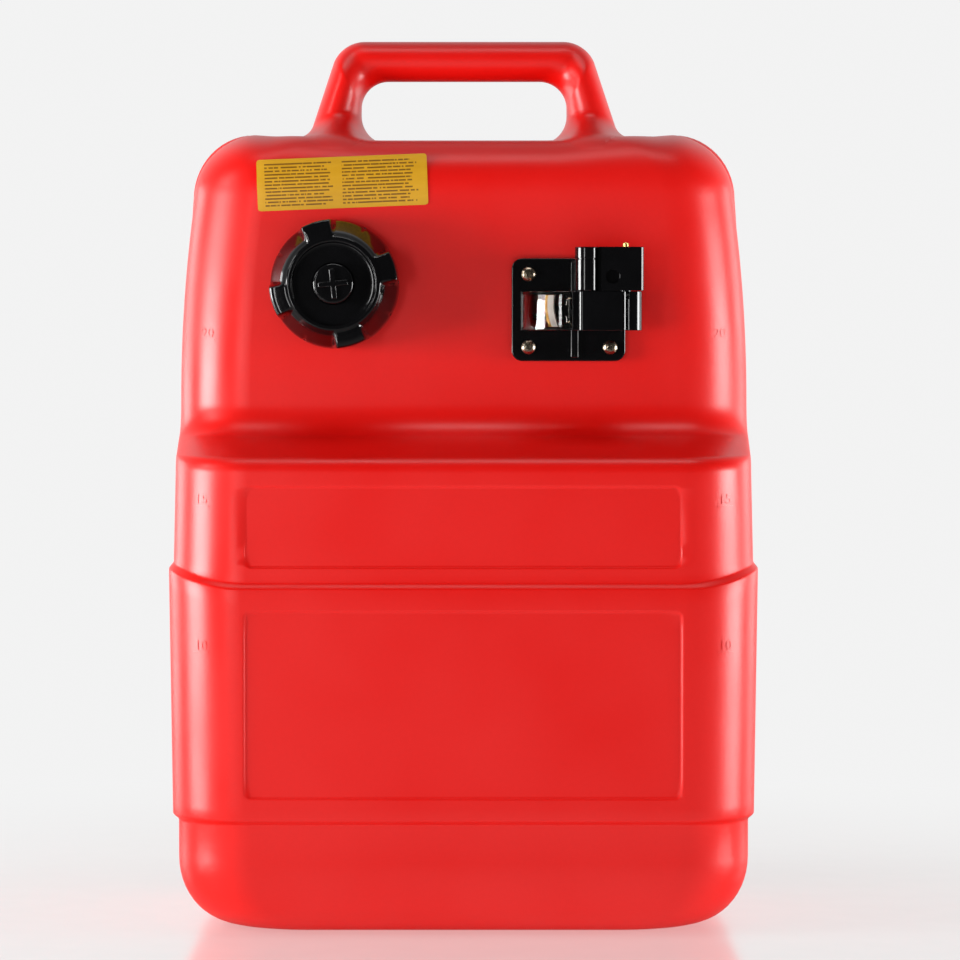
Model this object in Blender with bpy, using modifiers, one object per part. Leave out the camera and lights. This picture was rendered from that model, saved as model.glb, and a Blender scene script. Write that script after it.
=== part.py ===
"""Portable boat fuel tank of the 25 litre class, standing on its end.

A hollow moulded tank with a carry handle and a threaded filler neck, a vented screw cap, and a
moulded fitting that carries the level gauge, its float, the pick-up tube and the hose connector.
Metres, +Z up, front face towards -Y. The pieces on the upper face are modelled in frames of their
own, with x to the right, y up the face and z out of it.
"""

import math

import bmesh
import bpy
from mathutils import Matrix, Vector

# Tank body: heights
TANK_TOP_Z = 0.4565
FOOT_TOP_Z = 0.0649
BAND_TOP_Z = 0.1980
BAND_SIDE_RISE = 0.0100
SHELF_START_Z = 0.2610

# Tank body: half widths, front and back faces
FOOT_HALF_WIDTH = 0.1625
BAND_FOOT_HALF_WIDTH = 0.1656
BAND_TOP_HALF_WIDTH = 0.1676
WAIST_HALF_WIDTH = 0.1650
SHELF_HALF_WIDTH = 0.1638
UPPER_HALF_WIDTH = 0.1647
FRONT_TAPER = 0.0084
BACK_TAPER = 0.0044
BAND_FRONT_Y = -0.1150
FOOT_STEP = 0.0037
BAND_STEP = 0.0028
BACK_Y = 0.1150
PARTING_Y = 0.0310
PARTING_HALF_WIDTH = 0.0020

# Tank body: the recessed upper face and the shelf that leads up to it
DECK_RECESS = 0.0620
SHELF_TURN = math.radians(75)
SHELF_CONVEX_RADIUS = 0.0100
SHELF_CONCAVE_RADIUS = 0.0200

# Tank body: roundings
FRONT_CORNER_RADIUS = 0.0420
BACK_CORNER_RADIUS = 0.0400
TOP_ROUND_HEIGHT = 0.0380
TOP_ROUND_DEPTH = 0.0280
TOP_FRONT_ROUND_WIDTH = 0.0420
TOP_BACK_ROUND_WIDTH = 0.0360
BASE_ROUND_HEIGHT = 0.0420
BASE_ROUND_WIDTH = 0.0420
BASE_ROUND_DEPTH = 0.0340
STEP_SOFTNESS = 0.0045

# Tank body: walls
WALL = 0.0035
TOP_WALL = 0.0075

# Moulded panels on the front
PANEL_SIDE_MARGIN = 0.0004
PANEL_DEPTH = 0.0010
PANEL_CORNER_RADIUS = 0.0045
UPPER_PANEL_LOW_Z = 0.2085
UPPER_PANEL_HIGH_Z = 0.2537
LOWER_PANEL_LOW_Z = 0.0788
LOWER_PANEL_HIGH_Z = 0.1839

# Carry handle
HANDLE_TOP_Z = 0.5115
HANDLE_TOP_HALF_WIDTH = 0.0725
HANDLE_BASE_HALF_WIDTH = 0.0922
HANDLE_OUTER_RADIUS = 0.0170
HANDLE_FLARE_RADIUS = 0.0120
HANDLE_FRONT_FLARE = 0.0720
HANDLE_DEPTH = 0.0300
GRIP_THICKNESS = 0.0223
LOOP_HALF_WIDTH = 0.0605
LOOP_RADIUS = 0.0160
FINGER_DIP = 0.0035
FINGER_DIP_TURN = math.radians(42)

# Filler neck and its thread, in the frame of the neck
NECK_X = -0.0736
NECK_Z = 0.3676
NECK_RADIUS = 0.0290
NECK_BORE_RADIUS = 0.0240
NECK_HEIGHT = 0.0210
THREAD_LEAD = 0.0060
THREAD_TURNS = 2.0
THREAD_START = 0.0060
THREAD_HEIGHT = 0.0021
THREAD_ROOT_WIDTH = 0.0030
THREAD_CREST_WIDTH = 0.0013

# Screw cap
CAP_RADIUS = 0.0370
CAP_RIM_LIFT = 0.0020
CAP_THREAD_CLEARANCE = 0.0009
CAP_THREAD_TURNS = 1.5
CAP_TOP_THICKNESS = 0.0032
CAP_SHOULDER_HEIGHT = 0.0260
CAP_DISC_RADIUS = 0.0290
CAP_DISC_HEIGHT = 0.0300
CAP_RIM_RADIUS = 0.0232
CAP_RIM_WIDTH = 0.0036
CAP_RIM_HEIGHT = 0.0018
CAP_EDGE_DROP = 0.0018
CAP_LOBES = 4
CAP_LOBE_WIDTH = 0.0180
CAP_LOBE_TURN = math.radians(16.5)
CAP_LOBE_THICKNESS = 0.0075
CAP_NOTCHES = 12
CAP_NOTCH_RADIUS = 0.0022
CAP_NOTCH_DEPTH = 0.0014
GASKET_THICKNESS = 0.0017
GASKET_MARGIN = 0.0020

# Vent screw in the middle of the cap
VENT_HEAD_RADIUS = 0.0115
VENT_HEAD_HEIGHT = 0.0062
VENT_STEM_RADIUS = 0.0040
VENT_STEM_LENGTH = 0.0100
VENT_SEAL_SECTION = 0.0010
VENT_SEAL_RADIUS = 0.0068
VENT_CROSS_LENGTH = 0.0170
VENT_CROSS_WIDTH = 0.0030
VENT_CROSS_HEIGHT = 0.0012
VENT_CROSS_TURN = math.radians(6)

# Gauge flange, in the frame of the gauge
GAUGE_X = 0.0600
GAUGE_Z = 0.3530
FLANGE_WIDTH = 0.0650
FLANGE_HEIGHT = 0.0587
FLANGE_THICKNESS = 0.0030
FLANGE_CORNER_RADIUS = 0.0060
FLANGE_GASKET_THICKNESS = 0.0012
FLANGE_HOLE_RADIUS = 0.0230
SCREW_PITCH_X = 0.0467
SCREW_PITCH_Y = 0.0417
SCREW_SHIFT_X = 0.00045
SCREW_SHIFT_Y = -0.0006
SCREW_HEAD_RADIUS = 0.0042
SCREW_HEAD_HEIGHT = 0.0024
SCREW_SHANK_RADIUS = 0.0019
SCREW_LENGTH = 0.0120
SCREW_BOSS_RADIUS = 0.0052
CROSS_SLOT_LENGTH = 0.0046
CROSS_SLOT_WIDTH = 0.0011
CROSS_SLOT_DEPTH = 0.0012

# Gauge housing and lens, in the frame of the gauge
GAUGE_ROW_Y = -0.0007
HOUSING_HALF_HEIGHT = 0.0111
HOUSING_TOP = 0.0340
HOUSING_LEFT_X = 0.0051
HOUSING_WALL_X = 0.0013
BULKHEAD_TOP = 0.0305
AXIS_X = 0.0010
AXIS_HEIGHT = 0.0033
LENS_RADIUS = 0.0285
LENS_WALL = 0.0020
LENS_SEAL_THICKNESS = 0.0006
RIB_HEIGHT = 0.0022

# Level pointer, shaft, float arm and float
SHAFT_RADIUS = 0.0015
HUB_RADIUS = 0.0036
POINTER_RADIUS = 0.0222
POINTER_THICKNESS = 0.0016
POINTER_ANGLE = math.radians(25.5)
POINTER_SPREAD = math.radians(15)
EAR_THICKNESS = 0.0028
EAR_REACH = 0.0036
SOCKET_RADIUS = 0.0028
SOCKET_LENGTH = 0.0095
SOCKET_RELIEF = 0.0045
SOCKET_RELIEF_HEIGHT = 0.0025
ARM_RADIUS = 0.0015
ARM_DROP = 0.0180
ARM_LENGTH = 0.1250
ARM_SLOPE = math.radians(8)
ARM_ROW_SHIFT = -0.0024
ARM_BEND_RADIUS = 0.0050
FLOAT_RADIUS = 0.0130
FLOAT_LENGTH = 0.0400
FLOAT_CLIP_RADIUS = 0.0036
FLOAT_CLIP_THICKNESS = 0.0010

# Pick-up tube and strainer
PICKUP_X = 0.0140
PICKUP_Y = 0.0055
PICKUP_RADIUS = 0.0045
PICKUP_BORE_RADIUS = 0.0033
SPIGOT_LENGTH = 0.0120
SPIGOT_BORE_RADIUS = 0.0017
PICKUP_FLOOR_GAP = 0.0045
STRAINER_RADIUS = 0.0070
STRAINER_WALL = 0.0012
STRAINER_LENGTH = 0.0180
STRAINER_SLOTS = 6
STRAINER_SLOT_WIDTH = 0.0022

# Hose connector
CONNECTOR_HEIGHT = 0.0248
FUEL_X = 0.0319
CONNECTOR_AXIS_HEIGHT = 0.0275
END_X = 0.0348
END_RADIUS = 0.0065
CONNECTOR_END_RADIUS = 0.0072
POST_X = 0.0099
POST_RADIUS = 0.0068
POST_GROOVE_DROP = 0.0073
POST_GROOVE_WIDTH = 0.0010
POST_GROOVE_DEPTH = 0.0005
WEB_THICKNESS = 0.0110
LATCH_HOLE_X = 0.0246
LATCH_HOLE_RADIUS = 0.0037
LATCH_HOLE_DEPTH = 0.0030
LATCH_HOLE_DROP = 0.0151
SEAT_SPIGOT_RADIUS = 0.0032
SEAT_SPIGOT_LENGTH = 0.0045
SEAT_BORE_RADIUS = 0.0016
SEAT_SEAL_SECTION = 0.0008
CHAMBER_RADIUS = 0.0040
CHAMBER_FLOOR = 0.0034
CHAMBER_ROOF = 0.0054
TIP_RADIUS = 0.0018
TIP_LIFT = 0.0025
VALVE_HEAD_RADIUS = 0.0035
VALVE_HEAD_HEIGHT = 0.0025
VALVE_STEM_RADIUS = 0.0014
VALVE_STEM_LENGTH = 0.0040
VALVE_SEAL_SECTION = 0.0006
SPRING_RADIUS = 0.0027
SPRING_WIRE_RADIUS = 0.0004
SPRING_TURNS = 5

# Sticker
LABEL_SIDE_MARGIN = 0.04655
LABEL_Z = 0.4258
LABEL_WIDTH = 0.0975
LABEL_HEIGHT = 0.0293
LABEL_TURN = math.radians(2.3)
LABEL_THICKNESS = 0.0003
LABEL_GAP = 0.0002

# Fits
SEAT_GAP = 0.0003
RUNNING_GAP = 0.0004
OVERRUN = 0.0100
MERGE_DISTANCE = 0.00001

# Shapes without a size of their own
SHARP_ANGLE = math.radians(35)
STEP_SHARES = (0, 1 / 3, 2 / 3, 1)
FACE_SHARES = (0.35, 0.6, 0.8)
FLARE_START_SHARE = 0.3
THREAD_PHASE_SHARE = 0.2
OVAL_POWER = 0.8
HALF_SHARE = 0.5
HEAD_SHARES = (0.35, 0.65, 1.0)
HEAD_DOME_SHARE = 0.6
SLOT_TURNS = (math.radians(20), math.radians(65), math.radians(40), math.radians(10))

# How finely round shapes are divided
PANEL_CORNER_STEPS = 4
SEAL_SECTION_STEPS = 8
NOTCH_STEPS = 8
FLAG_STEPS = 4
BEND_STEPS = 4
SPRING_STEPS = 10
LABEL_COLUMNS = 14
LABEL_ROWS = 6
FRONT_CORNER_STEPS = 7
BACK_CORNER_STEPS = 5
CAVITY_CORNER_STEPS = 4
ROUND_STEPS = 6
CAVITY_ROUND_STEPS = 4
SHELF_STEPS = 4
HANDLE_ARC_STEPS = 5
HANDLE_SECTION_STEPS = 16
COARSE_STEPS = 16
MEDIUM_STEPS = 32
FINE_STEPS = 48

# Places that follow from the sizes above
DECK_Y = BAND_FRONT_Y + DECK_RECESS
FLANGE_BASE = SEAT_GAP + FLANGE_GASKET_THICKNESS + SEAT_GAP
FLANGE_TOP = FLANGE_BASE + FLANGE_THICKNESS
CAP_CEILING = NECK_HEIGHT + SEAT_GAP + GASKET_THICKNESS + SEAT_GAP
CAP_BORE_RADIUS = NECK_RADIUS + THREAD_HEIGHT + CAP_THREAD_CLEARANCE
VENT_FLOOR = CAP_CEILING + CAP_TOP_THICKNESS
HOUSING_LOW_Y = GAUGE_ROW_Y - HOUSING_HALF_HEIGHT
HOUSING_HIGH_Y = GAUGE_ROW_Y + HOUSING_HALF_HEIGHT
CHEEK_Y = HOUSING_HALF_HEIGHT - LENS_WALL
CONNECTOR_BASE_Y = HOUSING_HIGH_Y + SEAT_GAP
CONNECTOR_TOP_Y = CONNECTOR_BASE_Y + CONNECTOR_HEIGHT
LABEL_X = LABEL_SIDE_MARGIN + LABEL_WIDTH / 2 - UPPER_HALF_WIDTH


def clear_scene():
    """Empties the file, so that the script gives the same scene each time."""
    for thing in list(bpy.data.objects):
        bpy.data.objects.remove(thing, do_unlink=True)
    for group in list(bpy.data.collections):
        bpy.data.collections.remove(group)


def new_collection(name):
    group = bpy.data.collections.new(name)
    bpy.context.scene.collection.children.link(group)
    return group


def new_material(name, colour, roughness, metallic=0.0):
    material = bpy.data.materials.new(name)
    material.use_nodes = True
    shader = material.node_tree.nodes["Principled BSDF"]
    shader.inputs["Base Color"].default_value = (*colour, 1.0)
    shader.inputs["Roughness"].default_value = roughness
    shader.inputs["Metallic"].default_value = metallic
    return material


def add_object(name, mesh, group, material=None, frame=None, smooth=True):
    """Makes an object of a bmesh, in a collection and on a parent frame."""
    bmesh.ops.recalc_face_normals(mesh, faces=mesh.faces)
    data = bpy.data.meshes.new(name)
    mesh.to_mesh(data)
    mesh.free()
    if smooth:
        data.shade_smooth()
        data.set_sharp_from_angle(angle=SHARP_ANGLE)
    if material:
        data.materials.append(material)
    thing = bpy.data.objects.new(name, data)
    thing.parent = frame
    group.objects.link(thing)
    return thing


def add_cutter(name, mesh, frame=None):
    """Makes a hidden object that only cuts or joins another."""
    thing = add_object(name, mesh, cutters, frame=frame, smooth=False)
    thing.hide_render = True
    thing.display_type = "WIRE"
    return thing


def combine(target, tool, operation):
    modifier = target.modifiers.new(operation.lower() + "_" + tool.name, "BOOLEAN")
    modifier.operation = operation
    modifier.object = tool
    modifier.solver = "EXACT"


def add_cylinder(mesh, start, end, radius, steps, end_radius=None):
    """Adds a closed cylinder or cone between two points."""
    start = Vector(start)
    end = Vector(end)
    span = end - start
    turn = span.to_track_quat("Z", "Y").to_matrix().to_4x4()
    place = Matrix.Translation((start + end) / 2) @ turn
    top = radius if end_radius is None else end_radius
    bmesh.ops.create_cone(mesh, cap_ends=True, segments=steps, radius1=radius, radius2=top,
                          depth=span.length, matrix=place)


def add_box(mesh, low, high):
    low = Vector(low)
    high = Vector(high)
    place = Matrix.Translation((low + high) / 2) @ Matrix.Diagonal((*(high - low), 1))
    bmesh.ops.create_cube(mesh, size=1, matrix=place)


def add_turned(name, profile, steps, group, material=None, frame=None, closed=True):
    """Turns a profile of (radius, height) points about the frame's z axis."""
    data = bpy.data.meshes.new(name)
    count = len(profile)
    edges = [(index, index + 1) for index in range(count - 1)]
    if closed:
        edges.append((count - 1, 0))
    data.from_pydata([(radius, 0, height) for radius, height in profile], edges, [])
    thing = bpy.data.objects.new(name, data)
    if material:
        data.materials.append(material)
    thing.parent = frame
    group.objects.link(thing)
    screw = thing.modifiers.new("turn", "SCREW")
    screw.steps = steps
    screw.render_steps = steps
    screw.use_merge_vertices = True
    screw.merge_threshold = MERGE_DISTANCE
    screw.use_smooth_shade = True
    return thing


def add_ring(name, radius, height, section, frame):
    """A rubber ring of round section."""
    profile = []
    for step in range(SEAL_SECTION_STEPS):
        turn = -math.radians(360) * step / SEAL_SECTION_STEPS
        profile.append((radius + section * math.cos(turn), height + section * math.sin(turn)))
    return add_turned(name, profile, COARSE_STEPS, parts, black_rubber, frame)


def add_wire(name, route, radius, resolution, frame):
    """A curve object along a route, as thick as a wire."""
    curve = bpy.data.curves.new(name, "CURVE")
    curve.dimensions = "3D"
    curve.bevel_depth = radius
    curve.bevel_resolution = resolution
    curve.use_fill_caps = True
    line = curve.splines.new("POLY")
    line.points.add(len(route) - 1)
    for point, place in zip(line.points, route):
        point.co = (*place, 1)
    thing = bpy.data.objects.new(name, curve)
    thing.parent = frame
    parts.objects.link(thing)
    return thing


def mesh_of_curve(thing, group, material):
    """Turns a curve object into a mesh object with welded caps."""
    bpy.context.view_layer.update()
    evaluated = thing.evaluated_get(bpy.context.evaluated_depsgraph_get())
    data = bpy.data.meshes.new_from_object(evaluated)
    name = thing.name
    place = thing.matrix_world.copy()
    bpy.data.objects.remove(thing, do_unlink=True)
    mesh = bmesh.new()
    mesh.from_mesh(data)
    bmesh.ops.remove_doubles(mesh, verts=mesh.verts, dist=MERGE_DISTANCE)
    result = add_object(name, mesh, group, material)
    result.matrix_world = place
    return result


def frame_at(name, x, z):
    """An empty on the upper face, with z out of the face and y up it."""
    frame = bpy.data.objects.new(name, None)
    frame.location = (x, DECK_Y, z)
    frame.rotation_euler = (math.radians(90), 0, 0)
    parts.objects.link(frame)
    return frame


def blend(low, high, share):
    return low + (high - low) * share


def shelf_end_z():
    """The height at which the shelf has turned into the upper face."""
    radii = SHELF_CONVEX_RADIUS + SHELF_CONCAVE_RADIUS
    straight = (DECK_RECESS - BAND_STEP - radii * (1 - math.cos(SHELF_TURN))) / math.sin(SHELF_TURN)
    return SHELF_START_Z + radii * math.sin(SHELF_TURN) + straight * math.cos(SHELF_TURN)


def upper_half_widths(share):
    """Half widths in front of and behind the parting line, share of the way up the upper face."""
    front = UPPER_HALF_WIDTH - FRONT_TAPER * share ** 2
    back = UPPER_HALF_WIDTH - BACK_TAPER * share ** 2
    return front, back


def tank_stations(wall, top_wall, steps):
    """Level sections up the tank, wall deep inside its skin.

    Each is (z, front y, half width in front, half width behind, back y, side rise).
    """
    stations = []
    foot_front = BAND_FRONT_Y + FOOT_STEP
    waist_front = BAND_FRONT_Y + BAND_STEP
    for step in range(steps + 1):
        turn = math.radians(90) * step / steps
        side = (BASE_ROUND_WIDTH - wall) * (1 - math.sin(turn))
        face = (BASE_ROUND_DEPTH - wall) * (1 - math.sin(turn))
        z = BASE_ROUND_HEIGHT - (BASE_ROUND_HEIGHT - wall) * math.cos(turn)
        half = FOOT_HALF_WIDTH - wall - side
        stations.append((z, foot_front + wall + face, half, half, BACK_Y - wall - face, 0))
    back = BACK_Y - wall
    low = (foot_front + wall, FOOT_HALF_WIDTH - wall)
    band = (BAND_FRONT_Y + wall, BAND_FOOT_HALF_WIDTH - wall)
    top = (BAND_FRONT_Y + wall, BAND_TOP_HALF_WIDTH - wall)
    high = (waist_front + wall, WAIST_HALF_WIDTH - wall)
    for middle, below, above, rise in (
            (FOOT_TOP_Z, low, band, 0),
            (BAND_TOP_Z, top, high, BAND_SIDE_RISE)):
        shift = math.copysign(wall, above[1] - below[1])
        for share in STEP_SHARES:
            z = middle + shift + STEP_SOFTNESS * (share - HALF_SHARE)
            front = blend(below[0], above[0], share_of_step(share))
            half = blend(below[1], above[1], share_of_step(share))
            stations.append((z, front, half, half, back, rise))
    for step in range(SHELF_STEPS + 1):
        turn = SHELF_TURN * step / SHELF_STEPS
        radius = SHELF_CONVEX_RADIUS - wall
        front = waist_front + SHELF_CONVEX_RADIUS - radius * math.cos(turn)
        z = SHELF_START_Z + radius * math.sin(turn)
        half = SHELF_HALF_WIDTH - wall
        stations.append((z, front, half, half, back, 0))
    for step in range(SHELF_STEPS + 1):
        turn = SHELF_TURN * (1 - step / SHELF_STEPS)
        radius = SHELF_CONCAVE_RADIUS + wall
        front = DECK_Y - SHELF_CONCAVE_RADIUS + radius * math.cos(turn)
        z = shelf_end_z() - radius * math.sin(turn)
        half = UPPER_HALF_WIDTH - wall
        stations.append((z, front, half, half, back, 0))
    round_start = TANK_TOP_Z - TOP_ROUND_HEIGHT
    for share in FACE_SHARES:
        z = blend(shelf_end_z(), round_start, share)
        half_front, half_back = upper_half_widths(share)
        stations.append((z, DECK_Y + wall, half_front - wall, half_back - wall, back, 0))
    half_front, half_back = upper_half_widths(1)
    for step in range(steps + 1):
        turn = math.radians(90) * step / steps
        lean = 1 - math.cos(turn)
        z = round_start + (TOP_ROUND_HEIGHT - top_wall) * math.sin(turn)
        face = (TOP_ROUND_DEPTH - wall) * lean
        front_side = wall + (TOP_FRONT_ROUND_WIDTH - wall) * lean
        back_side = wall + (TOP_BACK_ROUND_WIDTH - wall) * lean
        stations.append((z, DECK_Y + wall + face, half_front - front_side, half_back - back_side,
                         back - face, 0))
    return stations


def share_of_step(share):
    """An S-curve from 0 to 1."""
    return share * share * (3 - 2 * share)


def section_points(station, wall, front_steps, back_steps):
    """One level section of the tank, counted round from the middle of the front."""
    z, front, half_front, half_back, back, rise = station
    front_radius = FRONT_CORNER_RADIUS - wall
    back_radius = BACK_CORNER_RADIUS - wall
    right = [(0, front, z)]
    for step in range(front_steps + 1):
        turn = math.radians(90) * step / front_steps
        x = half_front - front_radius + front_radius * math.sin(turn)
        y = front + front_radius - front_radius * math.cos(turn)
        right.append((x, y, z + rise * share_of_step(step / front_steps)))
    right.append((half_front, PARTING_Y - PARTING_HALF_WIDTH, z + rise))
    right.append((half_back, PARTING_Y + PARTING_HALF_WIDTH, z + rise))
    for step in range(back_steps + 1):
        turn = math.radians(90) * step / back_steps
        x = half_back - back_radius + back_radius * math.cos(turn)
        y = back - back_radius + back_radius * math.sin(turn)
        right.append((x, y, z + rise))
    right.append((0, back, z + rise))
    left = [(-x, y, height) for x, y, height in reversed(right[1:-1])]
    return right + left


def loft(mesh, sections):
    """Joins sections of as many points each into one closed body."""
    rings = [[mesh.verts.new(point) for point in section] for section in sections]
    count = len(rings[0])
    for lower, upper in zip(rings, rings[1:]):
        for index in range(count):
            after = (index + 1) % count
            mesh.faces.new((lower[index], lower[after], upper[after], upper[index]))
    mesh.faces.new(list(reversed(rings[0])))
    mesh.faces.new(rings[-1])


def handle_stations():
    """Matched outer and inner points of half the handle, from its base to its middle."""
    lean = math.atan2(HANDLE_BASE_HALF_WIDTH - HANDLE_TOP_HALF_WIDTH, HANDLE_TOP_Z - TANK_TOP_Z)
    loop_floor = TANK_TOP_Z - FINGER_DIP
    loop_roof = HANDLE_TOP_Z - GRIP_THICKNESS
    turn_end = math.radians(90) - lean
    stations = []
    reach = HANDLE_FLARE_RADIUS * math.tan(turn_end / 2)
    for step in range(HANDLE_ARC_STEPS + 1):
        share = step / HANDLE_ARC_STEPS
        turn = blend(FLARE_START_SHARE * turn_end, turn_end, share)
        outer_x = HANDLE_BASE_HALF_WIDTH + reach - HANDLE_FLARE_RADIUS * math.sin(turn)
        outer_z = TANK_TOP_Z + HANDLE_FLARE_RADIUS * (1 - math.cos(turn))
        quarter = blend(FLARE_START_SHARE, 1, share) * math.radians(90)
        inner_x = LOOP_HALF_WIDTH - LOOP_RADIUS * (1 - math.sin(quarter))
        inner_z = loop_floor + LOOP_RADIUS * (1 - math.cos(quarter))
        stations.append(((outer_x, outer_z), (inner_x, inner_z), 1 - math.sin(quarter)))
    corner = HANDLE_OUTER_RADIUS * math.tan((math.radians(90) - lean) / 2)
    for step in range(HANDLE_ARC_STEPS + 1):
        share = step / HANDLE_ARC_STEPS
        turn = blend(lean, math.radians(90), share)
        outer_x = HANDLE_TOP_HALF_WIDTH - corner + HANDLE_OUTER_RADIUS * math.cos(turn)
        outer_z = HANDLE_TOP_Z - HANDLE_OUTER_RADIUS * (1 - math.sin(turn))
        quarter = share * math.radians(90)
        inner_x = LOOP_HALF_WIDTH - LOOP_RADIUS * (1 - math.cos(quarter))
        inner_z = loop_roof - LOOP_RADIUS * (1 - math.sin(quarter))
        stations.append(((outer_x, outer_z), (inner_x, inner_z), 0))
    return stations


def top_drop(y):
    """How far the rounded front edge of the top lies below the top, at a depth y."""
    past = min(1, max(0, DECK_Y + TOP_ROUND_DEPTH - y) / TOP_ROUND_DEPTH)
    return TOP_ROUND_HEIGHT * (1 - math.sqrt(1 - past ** 2))


def handle_section(outer, inner, flare):
    """An oval section between an outer and an inner point of the handle, flared at its foot."""
    outer = Vector((outer[0], PARTING_Y, outer[1]))
    inner = Vector((inner[0], PARTING_Y, inner[1]))
    middle = (outer + inner) / 2
    reach = (outer - inner) / 2
    points = []
    for step in range(HANDLE_SECTION_STEPS):
        turn = math.radians(360) * (step + 1 / 2) / HANDLE_SECTION_STEPS
        along = math.copysign(abs(math.cos(turn)) ** OVAL_POWER, math.cos(turn))
        across = math.copysign(abs(math.sin(turn)) ** OVAL_POWER, math.sin(turn))
        spread = HANDLE_FRONT_FLARE if across < 0 else HANDLE_FLARE_RADIUS
        y = (HANDLE_DEPTH / 2 + spread * flare) * across
        drop = top_drop(PARTING_Y + y) if flare else 0
        points.append(middle + reach * along + Vector((0, y, -drop)))
    return points


def make_handle():
    stations = handle_stations()
    right = [handle_section(*station) for station in stations]
    outer, inner, flare = stations[0]
    sunk = [point - Vector((0, 0, WALL)) for point in right[0]]
    right.insert(0, sunk)
    left = [[Vector((-point.x, point.y, point.z)) for point in section] for section in reversed(right)]
    mesh = bmesh.new()
    loft(mesh, right + left)
    return add_cutter("handle_form", mesh)


def make_finger_dip():
    """Cutter for the low stretch of the top between the legs of the handle."""
    front = DECK_Y - OVERRUN
    back = BACK_Y + OVERRUN
    right = []
    for step in range(HANDLE_ARC_STEPS + 1):
        turn = FINGER_DIP_TURN * step / HANDLE_ARC_STEPS
        x = LOOP_HALF_WIDTH - SEAT_GAP - LOOP_RADIUS * (1 - math.sin(turn))
        right.append((x, TANK_TOP_Z - FINGER_DIP + LOOP_RADIUS * (1 - math.cos(turn))))
    outline = right + [(-x, z) for x, z in reversed(right)]
    mesh = bmesh.new()
    face = mesh.faces.new([mesh.verts.new((x, front, z)) for x, z in outline])
    extrude_face(mesh, face, (0, back - front, 0))
    return add_cutter("finger_dip", mesh)


def extrude_face(mesh, face, way):
    grown = bmesh.ops.extrude_face_region(mesh, geom=[face])
    moved = [item for item in grown["geom"] if isinstance(item, bmesh.types.BMVert)]
    bmesh.ops.translate(mesh, verts=moved, vec=way)


def clear_beyond(mesh, point, normal):
    """Cuts a closed mesh at a plane, drops what lies beyond and closes the cut."""
    everything = mesh.verts[:] + mesh.edges[:] + mesh.faces[:]
    cut = bmesh.ops.bisect_plane(mesh, geom=everything, plane_co=point, plane_no=normal, clear_outer=True)
    edges = [item for item in cut["geom_cut"] if isinstance(item, bmesh.types.BMEdge)]
    bmesh.ops.edgenet_fill(mesh, edges=edges)


def rounded_box(mesh, low, high, radius, segments):
    """A box whose edges along its y axis are rounded."""
    add_box(mesh, low, high)
    edges = [edge for edge in mesh.edges
             if abs(edge.verts[0].co.y - edge.verts[1].co.y) > radius]
    bmesh.ops.bevel(mesh, geom=edges, offset=radius, segments=segments, profile=HALF_SHARE,
                    affect="EDGES", material=-1)


def add_ridge(mesh, root_radius, crest_radius, start, turns, steps):
    """A thread ridge of trapezium section, wound up about the z axis."""
    root = THREAD_ROOT_WIDTH / 2
    crest = THREAD_CREST_WIDTH / 2
    sections = []
    count = round(turns * steps)
    for step in range(count + 1):
        turn = math.radians(360) * (step + THREAD_PHASE_SHARE) / steps
        height = start + THREAD_LEAD * step / steps
        section = []
        for radius, lift in ((root_radius, -root), (crest_radius, -crest),
                             (crest_radius, crest), (root_radius, root)):
            section.append((radius * math.cos(turn), radius * math.sin(turn), height + lift))
        sections.append(section)
    loft(mesh, sections)


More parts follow.
